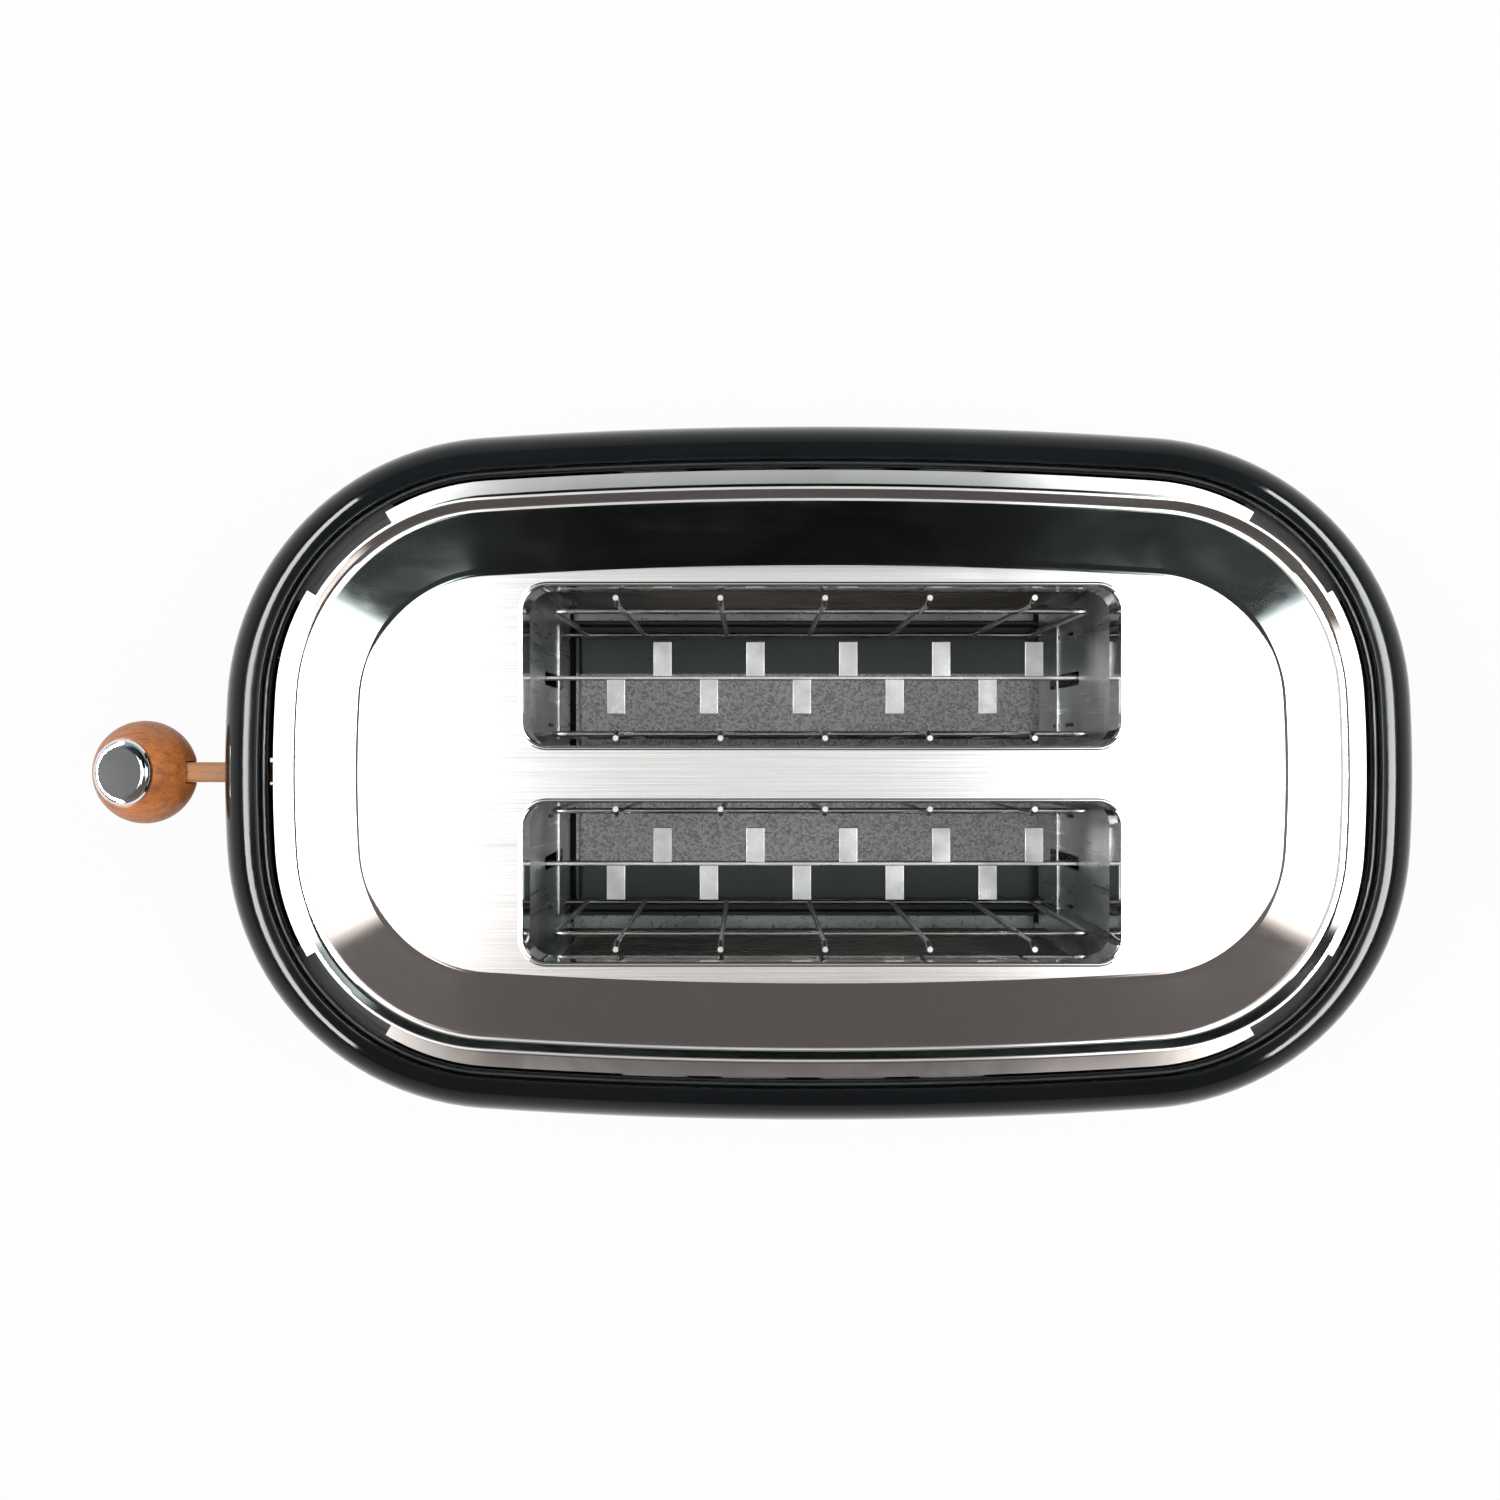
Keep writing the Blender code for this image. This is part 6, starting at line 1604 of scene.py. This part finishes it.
class TOASTER_OT_spring(bpy.types.Operator):
    """Coil the lift spring round its guide rod, with closed ends"""
    bl_idname = "toaster.spring"
    bl_label = "Lift spring"

    def execute(self, context):
        low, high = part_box("lift_spring")
        middle = (low + high) / 2
        thick = 0.0006
        radius = (high.x - low.x) / 2 - thick
        bottom, top = low.z + thick, high.z - thick
        turns, dead, pitch = 14, 1.5, 0.0013
        steps = 20
        lift = (top - bottom - 2 * dead * pitch) / (turns - 2 * dead)
        points = []
        for k in range(turns * steps + 1):
            turn = k / steps
            rise = bottom + min(turn, dead) * pitch
            rise += max(0.0, min(turn, turns - dead) - dead) * lift
            rise += max(0.0, turn - (turns - dead)) * pitch
            angle = math.tau * turn
            points.append((middle.x + radius * math.cos(angle),
                           middle.y + radius * math.sin(angle), rise))
        coil = wire("lift_coil", points, thick, 2)
        finished(coil, "body", "wire_steel", "lift_spring", angle=60.0)
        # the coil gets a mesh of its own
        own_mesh(coil)
        return {'FINISHED'}


class TOASTER_OT_inner(bpy.types.Operator):
    """Finish the inner parts whose CAD shape stays"""
    bl_idname = "toaster.inner"
    bl_label = "Inner parts"

    def execute(self, context):
        kept = {"guide_rod": "polished_steel", "rod_bracket": "chamber_steel",
                "carriage_bridge": "chamber_steel", "guide_bush": "ceramic",
                "armature": "chamber_steel", "holding_magnet": "brass",
                "control_board": "board_green", "browning_pot": "dark_plastic",
                "terminal_block": "ceramic", "dial_shaft": "wire_steel"}
        kept.update(("switch_" + name, "dark_plastic") for name in BUTTONS)
        kept.update(("heater_board_" + name, "mica") for name in BOARDS)
        for name, slot in kept.items():
            for place_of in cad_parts[name].material_slots:
                place_of.material = finish_for(slot)
        return {'FINISHED'}


# Parts of a unit vector towards the studio's light: where each change starts and is done
STRIP_NORTH = (0.105, 0.150)
STRIP_SOUTH = (-0.155, -0.090)
STRIP_TAPER = (0.15, 0.35)
STRIP_END = (0.56, 0.64)
OVERHEAD = (0.912, 0.926)
OVERHEAD_ENDS = (0.16, 0.23)
GLOW_RISE = (0.10, 0.16)
GLOW_ENDS = (0.24, 0.34)
WALL_ACROSS = (-0.16, 0.16)
WALL_ALONG = (0.05, 0.30)
WALL_ENDS = (0.60, 0.74)
FAR_ACROSS = (-0.3, 0.3)
HORIZON = (0.68, 0.45)
WARMTH = (-0.20, 0.20)


def studio_light(strength):
    """A soft light strip overhead along X, wider towards its ends, and darker walls."""
    world = bpy.data.worlds.new("studio")
    bpy.context.scene.world = world
    world.use_nodes = True
    tree = world.node_tree
    way = add(tree, "VectorMath", {0: add(tree, "TexCoord").outputs["Generated"]},
              operation='NORMALIZE').outputs[0]
    axes = add(tree, "SeparateXYZ", {0: way})
    side, up = axes.outputs["Y"], axes.outputs["Z"]
    along = size_of(tree, axes.outputs["X"])
    across = product_of(tree, side, smooth(tree, along, *STRIP_TAPER, 1.0, 0.62))
    north = smooth(tree, across, *STRIP_NORTH, 1.0, 0.0)
    south = smooth(tree, across, *STRIP_SOUTH)
    narrow = product_of(tree, north, south)
    high = smooth(tree, up, *OVERHEAD)
    outward = smooth(tree, along, *OVERHEAD_ENDS)
    wide = product_of(tree, high, outward)
    end = smooth(tree, along, *STRIP_END, 1.0, 0.0)
    strip = product_of(tree, sum_of(tree, narrow, wide, 'MAXIMUM'), end)
    glow = sum_of(tree, smooth(tree, along, *GLOW_RISE, 0.90, 2.5),
                  smooth(tree, along, *GLOW_ENDS, 0.0, 2.5))
    wall = sum_of(tree, smooth(tree, side, *WALL_ACROSS, 0.115, 0.006),
                  smooth(tree, along, *WALL_ALONG, 0.0, 0.035))
    wall = sum_of(tree, wall, smooth(tree, along, *WALL_ENDS, 0.0, 0.05))
    far = smooth(tree, side, *FAR_ACROSS, 0.06, 0.42)
    low = smooth(tree, up, *HORIZON)
    around = sum_of(tree, wall, product_of(tree, far, low))
    mixed = add(tree, "Mix", {0: strip, 2: around, 3: glow}, data_type='FLOAT').outputs[0]
    level = tree.nodes["Background"]
    warmth = span(tree, side, *WARMTH, 0.0, 1.0)
    link(tree, tints(tree, warmth, (0.15, (1.0, 0.91, 0.86)), (0.32, (1, 1, 1)),
                     (0.75, (1, 1, 1)), (0.90, (0.86, 1.0, 1.0))), level, "Color")
    link(tree, product_of(tree, mixed, strength), level, "Strength")


def pale_floor(finishes, glow):
    """A white floor that shows its colour to camera, metal and glass, and keeps shadows."""
    material = bpy.data.materials.new("pale_floor")
    material.use_nodes = True
    tree = material.node_tree
    tree.nodes.remove(tree.nodes["Principled BSDF"])
    lit = add(tree, "BsdfDiffuse", {"Color": (*finishes.floor, 1)})
    white = add(tree, "Emission", {"Color": (1, 1, 1, 1), "Strength": 1.0})
    rays = add(tree, "LightPath")
    seen = sum_of(tree, rays.outputs["Is Camera Ray"], rays.outputs["Is Glossy Ray"])
    seen = sum_of(tree, seen, rays.outputs["Is Transmission Ray"])
    share = product_of(tree, seen, glow)
    mixed = add(tree, "MixShader", {0: share, 1: lit.outputs[0], 2: white.outputs[0]})
    link(tree, mixed.outputs[0], tree.nodes["Material Output"], "Surface")
    return material


def lamp_at(name, where, tilt, power, width, length_across):
    """A rectangular lamp, tilted about Y."""
    lamp = bpy.data.lights.new(name, 'AREA')
    lamp.energy = power
    lamp.shape = 'RECTANGLE'
    lamp.size = width
    lamp.size_y = length_across
    stand = bpy.data.objects.new(name, lamp)
    stand.location = where
    stand.rotation_euler = (0, tilt, 0)
    bpy.context.scene.collection.objects.link(stand)
    return stand


class TOASTER_OT_stage(bpy.types.Operator):
    """Lay the floor, and set up the studio light and the camera"""
    bl_idname = "toaster.stage"
    bl_label = "Stage"

    def execute(self, context):
        stage = context.scene.toaster_stage
        start()
        bpy.ops.mesh.primitive_plane_add(size=stage.floor_size)
        floor = context.object
        floor.name = "floor"
        finishes = context.scene.toaster_finishes
        floor.data.materials.append(pale_floor(finishes, stage.floor_share))
        studio_light(stage.world)
        above = lamp_at("soft_lamp", (0, 0, stage.lamp_height), 0, stage.lamp_power,
                        stage.lamp_size, stage.lamp_size)
        above.visible_glossy = False
        for side in (-1, 1):
            stand = lamp_at("side_panel", (side * stage.panel_reach, 0, stage.panel_lift),
                            side * math.pi / 2, stage.panel_power, stage.panel_width,
                            stage.panel_length)
            stand.visible_camera = False
            stand.visible_diffuse = False
        eye = bpy.data.cameras.new("camera")
        eye.lens = stage.lens
        eye.sensor_width = 36
        eye.clip_start = 0.01
        camera = bpy.data.objects.new("camera", eye)
        camera.location = (stage.camera_x, stage.camera_y, stage.camera_z)
        context.scene.collection.objects.link(camera)
        context.scene.camera = camera
        context.scene.view_settings.view_transform = 'Standard'
        return {'FINISHED'}


OPERATORS = (TOASTER_OT_shell, TOASTER_OT_frame, TOASTER_OT_crown, TOASTER_OT_base,
             TOASTER_OT_feet, TOASTER_OT_gland, TOASTER_OT_chamber, TOASTER_OT_heaters,
             TOASTER_OT_guards, TOASTER_OT_racks, TOASTER_OT_lever, TOASTER_OT_panel,
             TOASTER_OT_buttons, TOASTER_OT_dial, TOASTER_OT_tray, TOASTER_OT_spring,
             TOASTER_OT_inner, TOASTER_OT_stage)


class TOASTER_PT_pieces(bpy.types.Panel):
    """The toaster's pieces and sizes"""
    bl_label = "Two-slot toaster"
    bl_idname = "TOASTER_PT_pieces"
    bl_space_type = 'VIEW_3D'
    bl_region_type = 'UI'
    bl_category = "Toaster"

    def draw(self, context):
        for operator in OPERATORS:
            self.layout.operator(operator.bl_idname)
        for name, group in GROUPS:
            box = self.layout.box()
            for key in group.__annotations__:
                box.prop(getattr(context.scene, name), key)


def register():
    """Add the sizes, the operators and the panel."""
    for name, group in GROUPS:
        bpy.utils.register_class(group)
        setattr(bpy.types.Scene, name, PointerProperty(type=group))
    for operator in OPERATORS:
        bpy.utils.register_class(operator)
    bpy.utils.register_class(TOASTER_PT_pieces)


def unregister():
    """Take the panel, the operators and the sizes away again."""
    bpy.utils.unregister_class(TOASTER_PT_pieces)
    for operator in reversed(OPERATORS):
        bpy.utils.unregister_class(operator)
    for name, group in reversed(GROUPS):
        delattr(bpy.types.Scene, name)
        bpy.utils.unregister_class(group)


def main():
    """Register the add-on and model every piece in order."""
    register()
    for operator in OPERATORS:
        group, name = operator.bl_idname.split(".")
        getattr(getattr(bpy.ops, group), name)()


if __name__ == "__main__":
    main()
